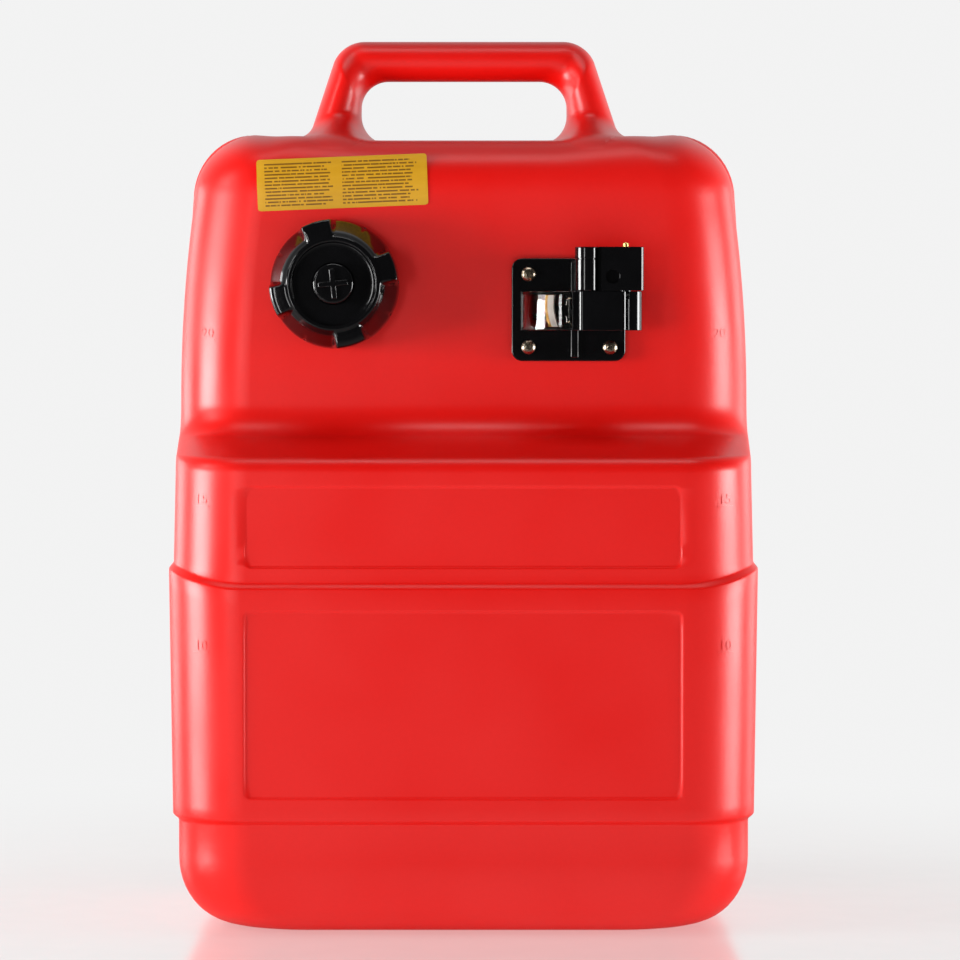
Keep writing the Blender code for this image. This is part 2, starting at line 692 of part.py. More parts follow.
def make_tank():
    mesh = bmesh.new()
    sections = [section_points(station, 0, FRONT_CORNER_STEPS, BACK_CORNER_STEPS)
                for station in tank_stations(0, 0, ROUND_STEPS)]
    loft(mesh, sections)
    tank = add_object("tank_shell", mesh, parts, red_plastic)

    combine(tank, make_handle(), "UNION")

    combine(tank, make_finger_dip(), "DIFFERENCE")

    neck = frame_at("neck_frame", NECK_X, NECK_Z)
    gauge = frame_at("gauge_frame", GAUGE_X, GAUGE_Z)

    mesh = bmesh.new()
    add_cylinder(mesh, (0, 0, -WALL), (0, 0, NECK_HEIGHT), NECK_RADIUS, FINE_STEPS)
    combine(tank, add_cutter("neck_form", mesh, neck), "UNION")
    mesh = bmesh.new()
    add_ridge(mesh, NECK_RADIUS - THREAD_HEIGHT / 2, NECK_RADIUS + THREAD_HEIGHT, THREAD_START,
              THREAD_TURNS, FINE_STEPS // 2)
    combine(tank, add_cutter("neck_thread", mesh, neck), "UNION")

    mesh = bmesh.new()
    for x, y in screw_places():
        add_cylinder(mesh, (x, y, -SCREW_LENGTH - WALL), (x, y, -WALL / 2), SCREW_BOSS_RADIUS, COARSE_STEPS)
    bosses = add_cutter("screw_bosses", mesh, gauge)

    mesh = bmesh.new()
    sections = [section_points(station, WALL, CAVITY_CORNER_STEPS, CAVITY_CORNER_STEPS)
                for station in tank_stations(WALL, TOP_WALL, CAVITY_ROUND_STEPS)]
    loft(mesh, sections)
    cavity = add_cutter("tank_cavity", mesh)
    combine(cavity, bosses, "DIFFERENCE")
    combine(tank, cavity, "DIFFERENCE")

    mesh = bmesh.new()
    add_cylinder(mesh, (0, 0, -OVERRUN), (0, 0, NECK_HEIGHT + OVERRUN), NECK_BORE_RADIUS, FINE_STEPS)
    combine(tank, add_cutter("neck_bore", mesh, neck), "DIFFERENCE")
    mesh = bmesh.new()
    add_cylinder(mesh, (0, 0, -OVERRUN), (0, 0, OVERRUN), FLANGE_HOLE_RADIUS, FINE_STEPS)
    combine(tank, add_cutter("gauge_hole", mesh, gauge), "DIFFERENCE")
    mesh = bmesh.new()
    hole = SCREW_SHANK_RADIUS + SEAT_GAP
    for x, y in screw_places():
        add_cylinder(mesh, (x, y, -SCREW_LENGTH), (x, y, OVERRUN), hole, COARSE_STEPS)
    combine(tank, add_cutter("screw_holes", mesh, gauge), "DIFFERENCE")

    narrowest = min(BAND_FOOT_HALF_WIDTH, BAND_TOP_HALF_WIDTH, WAIST_HALF_WIDTH)
    side = narrowest - FRONT_CORNER_RADIUS - PANEL_SIDE_MARGIN
    for name, low, high, face in (
            ("upper_panel", UPPER_PANEL_LOW_Z, UPPER_PANEL_HIGH_Z, BAND_FRONT_Y + BAND_STEP),
            ("lower_panel", LOWER_PANEL_LOW_Z, LOWER_PANEL_HIGH_Z, BAND_FRONT_Y)):
        mesh = bmesh.new()
        rounded_box(mesh, (-side, face - OVERRUN, low), (side, face + PANEL_DEPTH, high),
                    PANEL_CORNER_RADIUS, PANEL_CORNER_STEPS)
        combine(tank, add_cutter(name, mesh), "DIFFERENCE")
    return neck, gauge


def screw_places():
    """The four screws of the gauge flange, in its frame."""
    places = []
    for side in (-1, 1):
        x = SCREW_SHIFT_X + side * SCREW_PITCH_X / 2
        for level in (-1, 1):
            places.append((x, SCREW_SHIFT_Y + level * SCREW_PITCH_Y / 2))
    return places


def make_cap(neck):
    hole = VENT_STEM_RADIUS + RUNNING_GAP
    seat = VENT_HEAD_RADIUS + RUNNING_GAP
    low = CAP_RIM_LIFT
    rim_top = CAP_DISC_HEIGHT + CAP_RIM_HEIGHT
    profile = [
        (hole, VENT_FLOOR),
        (seat, VENT_FLOOR),
        (seat, CAP_DISC_HEIGHT),
        (CAP_RIM_RADIUS - CAP_RIM_HEIGHT / 2, CAP_DISC_HEIGHT),
        (CAP_RIM_RADIUS, rim_top),
        (CAP_RIM_RADIUS + CAP_RIM_WIDTH, rim_top),
        (CAP_DISC_RADIUS, rim_top - CAP_EDGE_DROP),
        (CAP_DISC_RADIUS, CAP_SHOULDER_HEIGHT + CAP_EDGE_DROP),
        (CAP_RADIUS - CAP_EDGE_DROP / 2, CAP_SHOULDER_HEIGHT),
        (CAP_RADIUS, CAP_SHOULDER_HEIGHT - CAP_EDGE_DROP),
        (CAP_RADIUS, low),
        (CAP_BORE_RADIUS, low),
        (CAP_BORE_RADIUS, CAP_CEILING),
        (hole, CAP_CEILING),
    ]
    cap = add_turned("filler_cap", profile, FINE_STEPS, parts, black_plastic, neck)

    for index in range(CAP_LOBES):
        mesh = bmesh.new()
        near = CAP_RIM_RADIUS + CAP_RIM_WIDTH / 2
        far = CAP_RADIUS - CAP_EDGE_DROP / 2
        rounded_box(mesh, (near, -CAP_LOBE_WIDTH / 2, rim_top - CAP_LOBE_THICKNESS),
                    (far, CAP_LOBE_WIDTH / 2, rim_top - CAP_EDGE_DROP / 2), CAP_EDGE_DROP, 1)
        turn = CAP_LOBE_TURN + math.radians(360) * index / CAP_LOBES
        bmesh.ops.rotate(mesh, verts=mesh.verts, matrix=Matrix.Rotation(turn, 3, "Z"))
        combine(cap, add_cutter(f"cap_lobe_{index + 1}", mesh, neck), "UNION")

    mesh = bmesh.new()
    centre = CAP_RADIUS + CAP_NOTCH_RADIUS - CAP_NOTCH_DEPTH
    for index in range(CAP_NOTCHES):
        turn = CAP_LOBE_TURN + math.radians(360) * (index + 1 / 2) / CAP_NOTCHES
        x = centre * math.cos(turn)
        y = centre * math.sin(turn)
        add_cylinder(mesh, (x, y, -OVERRUN), (x, y, CAP_DISC_HEIGHT + OVERRUN), CAP_NOTCH_RADIUS, NOTCH_STEPS)
    combine(cap, add_cutter("cap_notches", mesh, neck), "DIFFERENCE")

    mesh = bmesh.new()
    crest = NECK_RADIUS + CAP_THREAD_CLEARANCE
    add_ridge(mesh, CAP_BORE_RADIUS + THREAD_HEIGHT / 2, crest, THREAD_START + THREAD_LEAD / 2,
              CAP_THREAD_TURNS, FINE_STEPS // 2)
    combine(cap, add_cutter("cap_thread", mesh, neck), "UNION")

    base = NECK_HEIGHT + SEAT_GAP
    top = base + GASKET_THICKNESS
    inner = NECK_BORE_RADIUS - GASKET_MARGIN / 2
    outer = CAP_BORE_RADIUS - RUNNING_GAP
    add_turned("cap_gasket", [(inner, top), (outer, top), (outer, base), (inner, base)],
               FINE_STEPS, parts, black_rubber, neck)


def make_vent(neck):
    section = VENT_SEAL_SECTION
    seal_middle = VENT_FLOOR + SEAT_GAP + section
    base = seal_middle + section + SEAT_GAP
    top = base + VENT_HEAD_HEIGHT
    edge = CAP_EDGE_DROP / 2
    profile = [
        (0, top),
        (VENT_HEAD_RADIUS - edge, top),
        (VENT_HEAD_RADIUS, top - edge),
        (VENT_HEAD_RADIUS, base),
        (VENT_STEM_RADIUS, base),
        (VENT_STEM_RADIUS, base - VENT_STEM_LENGTH),
        (0, base - VENT_STEM_LENGTH),
    ]
    knob = add_turned("vent_knob", profile, MEDIUM_STEPS, parts, black_plastic, neck, closed=False)
    for index in range(2):
        mesh = bmesh.new()
        add_box(mesh, (-VENT_CROSS_LENGTH / 2, -VENT_CROSS_WIDTH / 2, top - VENT_CROSS_HEIGHT),
                (VENT_CROSS_LENGTH / 2, VENT_CROSS_WIDTH / 2, top + VENT_CROSS_HEIGHT))
        turn = VENT_CROSS_TURN + math.radians(90) * index
        bmesh.ops.rotate(mesh, verts=mesh.verts, matrix=Matrix.Rotation(turn, 3, "Z"))
        combine(knob, add_cutter(f"vent_cross_{index + 1}", mesh, neck), "UNION")
    add_ring("vent_seal", VENT_SEAL_RADIUS, seal_middle, section, neck)


def rounded_plate(mesh, width, height, low, high, radius):
    """A plate in the xy plane with rounded corners."""
    add_box(mesh, (-width / 2, -height / 2, low), (width / 2, height / 2, high))
    edges = [edge for edge in mesh.edges
             if abs(edge.verts[0].co.z - edge.verts[1].co.z) > MERGE_DISTANCE]
    bmesh.ops.bevel(mesh, geom=edges, offset=radius, segments=PANEL_CORNER_STEPS, profile=HALF_SHARE,
                    affect="EDGES", material=-1)


def join_box(target, name, low, high, frame):
    mesh = bmesh.new()
    add_box(mesh, low, high)
    combine(target, add_cutter(name, mesh, frame), "UNION")


def screw_hole_cutter(name, gauge):
    mesh = bmesh.new()
    for x, y in screw_places():
        add_cylinder(mesh, (x, y, -OVERRUN), (x, y, OVERRUN), SCREW_SHANK_RADIUS + SEAT_GAP, COARSE_STEPS)
    return add_cutter(name, mesh, gauge)


def make_flange(gauge):
    mesh = bmesh.new()
    rounded_plate(mesh, FLANGE_WIDTH - GASKET_MARGIN, FLANGE_HEIGHT - GASKET_MARGIN, SEAT_GAP,
                  SEAT_GAP + FLANGE_GASKET_THICKNESS, FLANGE_CORNER_RADIUS)
    gasket = add_object("flange_gasket", mesh, parts, black_rubber, gauge)
    mesh = bmesh.new()
    add_cylinder(mesh, (0, 0, -OVERRUN), (0, 0, OVERRUN), FLANGE_HOLE_RADIUS, MEDIUM_STEPS)
    combine(gasket, add_cutter("gasket_hole", mesh, gauge), "DIFFERENCE")
    combine(gasket, screw_hole_cutter("gasket_screw_holes", gauge), "DIFFERENCE")

    mesh = bmesh.new()
    rounded_plate(mesh, FLANGE_WIDTH, FLANGE_HEIGHT, FLANGE_BASE, FLANGE_TOP, FLANGE_CORNER_RADIUS)
    flange = add_object("gauge_flange", mesh, parts, black_plastic, gauge)

    rib_end = FLANGE_HEIGHT / 2 - GASKET_MARGIN
    join_box(flange, "flange_rib", (HOUSING_WALL_X, -rib_end, FLANGE_BASE),
             (HOUSING_LEFT_X, rib_end, FLANGE_TOP + RIB_HEIGHT), gauge)
    join_box(flange, "bulkhead", (HOUSING_WALL_X, HOUSING_LOW_Y, FLANGE_BASE),
             (HOUSING_LEFT_X + SEAT_GAP, HOUSING_HIGH_Y, BULKHEAD_TOP), gauge)
    join_box(flange, "housing", (HOUSING_LEFT_X, HOUSING_LOW_Y, FLANGE_BASE),
             (FLANGE_WIDTH / 2 - SEAT_GAP, HOUSING_HIGH_Y, HOUSING_TOP), gauge)
    mesh = bmesh.new()
    add_cylinder(mesh, (END_X, HOUSING_LOW_Y, CONNECTOR_AXIS_HEIGHT),
                 (END_X, HOUSING_HIGH_Y, CONNECTOR_AXIS_HEIGHT), END_RADIUS, MEDIUM_STEPS)
    combine(flange, add_cutter("housing_end", mesh, gauge), "UNION")
    mesh = bmesh.new()
    add_cylinder(mesh, (PICKUP_X, PICKUP_Y, -SPIGOT_LENGTH), (PICKUP_X, PICKUP_Y, FLANGE_TOP),
                 PICKUP_BORE_RADIUS - SEAT_GAP, COARSE_STEPS)
    combine(flange, add_cutter("pickup_spigot", mesh, gauge), "UNION")

    # Room for the pointer, open to the tank, and a relief for the arm's socket at the end of its swing
    wall_x = AXIS_X + HUB_RADIUS + RUNNING_GAP
    mesh = bmesh.new()
    add_cylinder(mesh, (AXIS_X, GAUGE_ROW_Y - CHEEK_Y, AXIS_HEIGHT),
                 (AXIS_X, GAUGE_ROW_Y + CHEEK_Y, AXIS_HEIGHT), LENS_RADIUS - LENS_WALL - SEAT_GAP,
                 MEDIUM_STEPS)
    clear_beyond(mesh, (wall_x, 0, 0), (1, 0, 0))
    combine(flange, add_cutter("pointer_room", mesh, gauge), "DIFFERENCE")
    mesh = bmesh.new()
    row = GAUGE_ROW_Y + ARM_ROW_SHIFT
    half = SOCKET_RADIUS + RUNNING_GAP
    add_box(mesh, (wall_x - OVERRUN, row - half, -OVERRUN),
            (wall_x + SOCKET_RELIEF, row + half, FLANGE_BASE + SOCKET_RELIEF_HEIGHT))
    combine(flange, add_cutter("socket_relief", mesh, gauge), "DIFFERENCE")

    # Ears that carry the shaft, against the housing and the edges of the room
    near = CHEEK_Y - EAR_THICKNESS
    for side in (-1, 1):
        for name, start, far, reach, high in (
                ("ear_foot", near, CHEEK_Y + SEAT_GAP, EAR_REACH, FLANGE_TOP - SEAT_GAP),
                ("ear", near + SEAT_GAP, CHEEK_Y - SEAT_GAP, EAR_REACH - SEAT_GAP, AXIS_HEIGHT + EAR_REACH)):
            first = GAUGE_ROW_Y + side * start
            last = GAUGE_ROW_Y + side * far
            join_box(flange, f"{name}_{side + 1}", (AXIS_X - reach, min(first, last), AXIS_HEIGHT - reach),
                     (wall_x + reach / 2, max(first, last), high), gauge)
    mesh = bmesh.new()
    add_cylinder(mesh, (AXIS_X, GAUGE_ROW_Y - CHEEK_Y, AXIS_HEIGHT),
                 (AXIS_X, GAUGE_ROW_Y + CHEEK_Y, AXIS_HEIGHT), SHAFT_RADIUS + RUNNING_GAP, COARSE_STEPS)
    combine(flange, add_cutter("shaft_holes", mesh, gauge), "DIFFERENCE")

    # The fuel's way: up the spigot, across the housing, up to the connector's socket
    height = CONNECTOR_AXIS_HEIGHT
    bore = SPIGOT_BORE_RADIUS
    mesh = bmesh.new()
    add_cylinder(mesh, (PICKUP_X, PICKUP_Y, -SPIGOT_LENGTH - OVERRUN), (PICKUP_X, PICKUP_Y, height), bore,
                 COARSE_STEPS)
    combine(flange, add_cutter("rising_bore", mesh, gauge), "DIFFERENCE")
    mesh = bmesh.new()
    level = height - bore
    add_cylinder(mesh, (PICKUP_X, PICKUP_Y, level), (FUEL_X, GAUGE_ROW_Y, level), bore, COARSE_STEPS)
    combine(flange, add_cutter("cross_bore", mesh, gauge), "DIFFERENCE")
    mesh = bmesh.new()
    add_cylinder(mesh, (FUEL_X, GAUGE_ROW_Y - bore, height), (FUEL_X, HOUSING_HIGH_Y + OVERRUN, height), bore,
                 COARSE_STEPS)
    combine(flange, add_cutter("end_bore", mesh, gauge), "DIFFERENCE")
    mesh = bmesh.new()
    socket = SEAT_SPIGOT_RADIUS + 2 * SEAT_SEAL_SECTION + SEAT_GAP
    floor = CONNECTOR_BASE_Y - SEAT_SPIGOT_LENGTH - SEAT_GAP
    add_cylinder(mesh, (FUEL_X, floor, height), (FUEL_X, HOUSING_HIGH_Y + OVERRUN, height), socket,
                 MEDIUM_STEPS)
    combine(flange, add_cutter("connector_socket", mesh, gauge), "DIFFERENCE")
    combine(flange, screw_hole_cutter("flange_screw_holes", gauge), "DIFFERENCE")


def make_screws(gauge):
    base = FLANGE_TOP + SEAT_GAP
    radius = SCREW_HEAD_RADIUS
    tall = SCREW_HEAD_HEIGHT
    profile = [(0, base + tall)]
    for share in HEAD_SHARES:
        turn = math.radians(90) * share
        profile.append((radius * math.sin(turn), base + tall * (1 - HEAD_DOME_SHARE * (1 - math.cos(turn)))))
    tip = FLANGE_TOP - SCREW_LENGTH
    profile += [(radius, base), (SCREW_SHANK_RADIUS, base), (SCREW_SHANK_RADIUS, tip), (0, tip)]
    for index, (x, y) in enumerate(screw_places()):
        name = f"flange_screw_{index + 1}"
        frame = bpy.data.objects.new(name + "_frame", None)
        frame.location = (x, y, 0)
        frame.parent = gauge
        parts.objects.link(frame)
        screw = add_turned(name, profile, COARSE_STEPS, parts, bright_steel, frame, closed=False)
        for arm in range(2):
            mesh = bmesh.new()
            long = CROSS_SLOT_LENGTH / 2
            wide = CROSS_SLOT_WIDTH / 2
            low = base + tall - CROSS_SLOT_DEPTH
            add_box(mesh, (-long, -wide, low), (long, wide, low + OVERRUN))
            turn = SLOT_TURNS[index] + math.radians(90) * arm
            bmesh.ops.rotate(mesh, verts=mesh.verts, matrix=Matrix.Rotation(turn, 3, "Z"))
            combine(screw, add_cutter(f"{name}_slot_{arm + 1}", mesh, frame), "DIFFERENCE")


def half_barrel(radius, half_length, floor, wall_x):
    """The part of a barrel about the gauge axis left of wall_x and above floor."""
    mesh = bmesh.new()
    add_cylinder(mesh, (AXIS_X, GAUGE_ROW_Y - half_length, AXIS_HEIGHT),
                 (AXIS_X, GAUGE_ROW_Y + half_length, AXIS_HEIGHT), radius, FINE_STEPS)
    clear_beyond(mesh, (wall_x, 0, 0), (1, 0, 0))
    clear_beyond(mesh, (0, 0, floor), (0, 0, -1))
    return mesh


def make_lens(gauge):
    seal_base = FLANGE_TOP + SEAT_GAP
    lens_base = seal_base + LENS_SEAL_THICKNESS + SEAT_GAP
    wall_x = HOUSING_WALL_X - SEAT_GAP
    mesh = half_barrel(LENS_RADIUS, HOUSING_HALF_HEIGHT, lens_base, wall_x)
    lens = add_object("sight_lens", mesh, parts, clear_plastic, gauge)
    mesh = half_barrel(LENS_RADIUS - LENS_WALL, CHEEK_Y, lens_base - LENS_WALL, wall_x + OVERRUN)
    combine(lens, add_cutter("lens_hollow", mesh, gauge), "DIFFERENCE")

    left = AXIS_X - LENS_RADIUS
    mesh = bmesh.new()
    add_box(mesh, (left, HOUSING_LOW_Y, seal_base), (wall_x, HOUSING_HIGH_Y, seal_base + LENS_SEAL_THICKNESS))
    seal = add_object("lens_seal", mesh, parts, black_rubber, gauge)
    mesh = bmesh.new()
    add_box(mesh, (left + LENS_WALL, GAUGE_ROW_Y - CHEEK_Y, -OVERRUN),
            (wall_x + OVERRUN, GAUGE_ROW_Y + CHEEK_Y, OVERRUN))
    combine(seal, add_cutter("seal_window", mesh, gauge), "DIFFERENCE")


def make_pointer(gauge):
    """Hub, spoke and curved flag, at the angle that the photograph shows.

    The frame on the shaft has x to the right, y into the tank and z along the shaft.
    """
    frame = bpy.data.objects.new("pointer_frame", None)
    frame.location = (AXIS_X, GAUGE_ROW_Y, AXIS_HEIGHT)
    frame.rotation_euler = (math.radians(-90), 0, 0)
    frame.parent = gauge
    parts.objects.link(frame)
    half = CHEEK_Y - RUNNING_GAP
    hub_half = CHEEK_Y - EAR_THICKNESS - RUNNING_GAP
    inner = POINTER_RADIUS - POINTER_THICKNESS
    mesh = bmesh.new()
    add_cylinder(mesh, (0, 0, -hub_half), (0, 0, hub_half), HUB_RADIUS, COARSE_STEPS)
    pointer = add_object("level_pointer", mesh, parts, white_plastic, frame)
    mesh = bmesh.new()
    add_cylinder(mesh, (0, 0, ARM_ROW_SHIFT), (0, SOCKET_LENGTH, ARM_ROW_SHIFT), SOCKET_RADIUS, COARSE_STEPS)
    combine(pointer, add_cutter("arm_socket", mesh, frame), "UNION")
    aim = math.radians(-90) - POINTER_ANGLE
    outline = []
    for radius, first, last in ((POINTER_RADIUS, -1, 1), (inner, 1, -1)):
        for step in range(FLAG_STEPS + 1):
            turn = aim + POINTER_SPREAD / 2 * blend(first, last, step / FLAG_STEPS)
            outline.append((radius * math.cos(turn), radius * math.sin(turn), -half))
    mesh = bmesh.new()
    face = mesh.faces.new([mesh.verts.new(point) for point in outline])
    extrude_face(mesh, face, (0, 0, 2 * half))
    combine(pointer, add_cutter("pointer_flag", mesh, frame), "UNION")
    mesh = bmesh.new()
    spoke = POINTER_THICKNESS / 2
    add_box(mesh, (0, -spoke, -hub_half / 2), (inner + spoke, spoke, hub_half / 2))
    bmesh.ops.rotate(mesh, verts=mesh.verts, matrix=Matrix.Rotation(aim, 3, "Z"))
    combine(pointer, add_cutter("pointer_spoke", mesh, frame), "UNION")
    mesh = bmesh.new()
    add_cylinder(mesh, (0, 0, -half - OVERRUN), (0, 0, half + OVERRUN), SHAFT_RADIUS + SEAT_GAP, COARSE_STEPS)
    combine(pointer, add_cutter("pointer_bore", mesh, frame), "DIFFERENCE")
    mesh = bmesh.new()
    add_cylinder(mesh, (0, HUB_RADIUS - SEAT_GAP, ARM_ROW_SHIFT), (0, SOCKET_LENGTH + OVERRUN, ARM_ROW_SHIFT),
                 ARM_RADIUS + SEAT_GAP, COARSE_STEPS)
    combine(pointer, add_cutter("socket_bore", mesh, frame), "DIFFERENCE")

    mesh = bmesh.new()
    add_cylinder(mesh, (0, 0, -half), (0, 0, half), SHAFT_RADIUS, COARSE_STEPS)
    add_object("gauge_shaft", mesh, parts, bright_steel, frame)
    return frame


def bend_points(corners, radius, steps):
    """A route through corners, with an arc at each inner corner."""
    points = [corners[0]]
    for before, corner, after in zip(corners, corners[1:], corners[2:]):
        into = (corner - before).normalized()
        away = (after - corner).normalized()
        half = into.angle(away) / 2
        reach = radius * math.tan(half)
        start = corner - into * reach
        end = corner + away * reach
        middle = corner + (away - into).normalized() * (radius / math.cos(half))
        axis = into.cross(away).normalized()
        for step in range(steps + 1):
            turn = Matrix.Rotation(2 * half * step / steps, 3, axis)
            points.append(middle + turn @ (start - middle))
    points.append(corners[-1])
    return points


def make_float(frame):
    """The wire arm, out of the socket, along, and then through the float."""
    end_x = -ARM_LENGTH * math.cos(ARM_SLOPE)
    end_y = ARM_DROP + ARM_LENGTH * math.sin(ARM_SLOPE)
    float_top = ARM_ROW_SHIFT - ARM_BEND_RADIUS - SEAT_GAP
    float_end = float_top - FLOAT_LENGTH
    clip_top = float_end - SEAT_GAP
    clip_end = clip_top - FLOAT_CLIP_THICKNESS
    corners = [
        Vector((0, HUB_RADIUS, ARM_ROW_SHIFT)),
        Vector((0, ARM_DROP, ARM_ROW_SHIFT)),
        Vector((end_x, end_y, ARM_ROW_SHIFT)),
        Vector((end_x, end_y, clip_end - FLOAT_CLIP_THICKNESS)),
    ]
    arm = add_wire("float_arm", bend_points(corners, ARM_BEND_RADIUS, BEND_STEPS), ARM_RADIUS, 2, frame)
    mesh_of_curve(arm, parts, bright_steel)

    for name, top, end, radius, material in (
            ("float", float_top, float_end, FLOAT_RADIUS, dark_foam),
            ("float_clip", clip_top, clip_end, FLOAT_CLIP_RADIUS, bright_steel)):
        mesh = bmesh.new()
        add_cylinder(mesh, (end_x, end_y, end), (end_x, end_y, top), radius, MEDIUM_STEPS)
        piece = add_object(name, mesh, parts, material, frame)
        mesh = bmesh.new()
        add_cylinder(mesh, (end_x, end_y, end - OVERRUN), (end_x, end_y, top + OVERRUN),
                     ARM_RADIUS + SEAT_GAP, COARSE_STEPS)
        combine(piece, add_cutter(name + "_bore", mesh, frame), "DIFFERENCE")


def make_pickup(gauge):
    frame = bpy.data.objects.new("pickup_frame", None)
    frame.location = (PICKUP_X, PICKUP_Y, 0)
    frame.parent = gauge
    parts.objects.link(frame)
    top = FLANGE_BASE - SEAT_GAP
    floor = DECK_Y - BACK_Y + WALL + PICKUP_FLOOR_GAP
    strainer_floor = floor + STRAINER_WALL
    end = strainer_floor + STRAINER_LENGTH / 2
    profile = [
        (PICKUP_BORE_RADIUS, top),
        (PICKUP_RADIUS, top),
        (PICKUP_RADIUS, end),
        (PICKUP_BORE_RADIUS, end),
    ]
    add_turned("pickup_tube", profile, COARSE_STEPS, parts, grey_plastic, frame)

    strainer_top = floor + STRAINER_LENGTH
    fit = PICKUP_RADIUS + SEAT_GAP
    inside = STRAINER_RADIUS - STRAINER_WALL
    collar = end + SEAT_GAP
    profile = [
        (fit, strainer_top),
        (STRAINER_RADIUS, strainer_top),
        (STRAINER_RADIUS, floor),
        (0, floor),
        (0, strainer_floor),
        (inside, strainer_floor),
        (inside, collar),
        (fit, collar),
    ]
    strainer = add_turned("pickup_strainer", profile, MEDIUM_STEPS, parts, brass, frame)
    for index in range(STRAINER_SLOTS // 2):
        mesh = bmesh.new()
        low = strainer_floor + STRAINER_SLOT_WIDTH
        add_box(mesh, (-STRAINER_RADIUS - OVERRUN, -STRAINER_SLOT_WIDTH / 2, low),
                (STRAINER_RADIUS + OVERRUN, STRAINER_SLOT_WIDTH / 2, collar - STRAINER_SLOT_WIDTH))
        turn = math.radians(360) * index / STRAINER_SLOTS
        bmesh.ops.rotate(mesh, verts=mesh.verts, matrix=Matrix.Rotation(turn, 3, "Z"))
        combine(strainer, add_cutter(f"strainer_slot_{index + 1}", mesh, frame), "DIFFERENCE")


def make_connector(gauge):
    height = CONNECTOR_AXIS_HEIGHT
    low = CONNECTOR_BASE_Y
    high = CONNECTOR_TOP_Y
    mesh = bmesh.new()
    add_box(mesh, (POST_X, low, height - WEB_THICKNESS / 2), (END_X, high, height + WEB_THICKNESS / 2))
    body = add_object("connector_body", mesh, parts, black_plastic, gauge)
    groove = high - POST_GROOVE_DROP
    for name, x, radius, start, end in (
            ("post", POST_X, POST_RADIUS, low, groove),
            ("post_neck", POST_X, POST_RADIUS - POST_GROOVE_DEPTH, low, high - POST_GROOVE_WIDTH),
            ("post_head", POST_X, POST_RADIUS, groove + POST_GROOVE_WIDTH, high),
            ("connector_end", END_X, CONNECTOR_END_RADIUS, low, high),
            ("seat_spigot", FUEL_X, SEAT_SPIGOT_RADIUS, low - SEAT_SPIGOT_LENGTH, low + SEAT_SPIGOT_LENGTH)):
        mesh = bmesh.new()
        add_cylinder(mesh, (x, start, height), (x, end, height), radius, MEDIUM_STEPS)
        combine(body, add_cutter(name, mesh, gauge), "UNION")

    mesh = bmesh.new()
    front = height + WEB_THICKNESS / 2
    mouth = high - LATCH_HOLE_DROP
    add_cylinder(mesh, (LATCH_HOLE_X, mouth, front - LATCH_HOLE_DEPTH),
                 (LATCH_HOLE_X, mouth, front + LATCH_HOLE_DEPTH), LATCH_HOLE_RADIUS / 2, COARSE_STEPS,
                 end_radius=LATCH_HOLE_RADIUS * 3 / 2)
    combine(body, add_cutter("latch_recess", mesh, gauge), "DIFFERENCE")

    floor = low + CHAMBER_FLOOR
    roof = high - CHAMBER_ROOF
    for name, radius, start, end in (
            ("seat_bore", SEAT_BORE_RADIUS, low - SEAT_SPIGOT_LENGTH - OVERRUN, floor + SEAT_GAP),
            ("valve_chamber", CHAMBER_RADIUS, floor, roof),
            ("tip_hole", TIP_RADIUS + RUNNING_GAP, roof - SEAT_GAP, high + OVERRUN)):
        mesh = bmesh.new()
        add_cylinder(mesh, (FUEL_X, start, height), (FUEL_X, end, height), radius, COARSE_STEPS)
        combine(body, add_cutter(name, mesh, gauge), "DIFFERENCE")

    frame = bpy.data.objects.new("valve_frame", None)
    frame.location = (FUEL_X, 0, height)
    frame.rotation_euler = (math.radians(-90), 0, 0)
    frame.parent = gauge
    parts.objects.link(frame)
    seal_room = SEAT_GAP + 2 * VALVE_SEAL_SECTION + SEAT_GAP
    head_top = roof - seal_room
    head_low = head_top - VALVE_HEAD_HEIGHT
    tip = high + TIP_LIFT
    round_off = TIP_RADIUS / 3
    profile = [
        (0, tip),
        (TIP_RADIUS - round_off, tip),
        (TIP_RADIUS, tip - round_off),
        (TIP_RADIUS, head_top),
        (VALVE_HEAD_RADIUS, head_top),
        (VALVE_HEAD_RADIUS, head_low),
        (VALVE_STEM_RADIUS, head_low),
        (VALVE_STEM_RADIUS, head_low - VALVE_STEM_LENGTH),
        (0, head_low - VALVE_STEM_LENGTH),
    ]
    add_turned("valve_pin", profile, COARSE_STEPS, parts, brass, frame, closed=False)

    add_ring("valve_seal", TIP_RADIUS + SEAT_GAP + VALVE_SEAL_SECTION, roof - seal_room / 2,
             VALVE_SEAL_SECTION, frame)
    add_ring("connector_seal", SEAT_SPIGOT_RADIUS + SEAT_SEAL_SECTION + SEAT_GAP / 2,
             low - SEAT_SPIGOT_LENGTH / 2, SEAT_SEAL_SECTION, frame)

    wire = SPRING_WIRE_RADIUS
    start = floor + SEAT_GAP + wire
    end = head_low - SEAT_GAP - wire
    count = SPRING_TURNS * SPRING_STEPS
    coil = []
    for step in range(count + 1):
        turn = math.radians(360) * step / SPRING_STEPS
        coil.append((SPRING_RADIUS * math.cos(turn), SPRING_RADIUS * math.sin(turn),
                     blend(start, end, step / count)))
    mesh_of_curve(add_wire("valve_spring", coil, wire, 1, frame), parts, bright_steel)


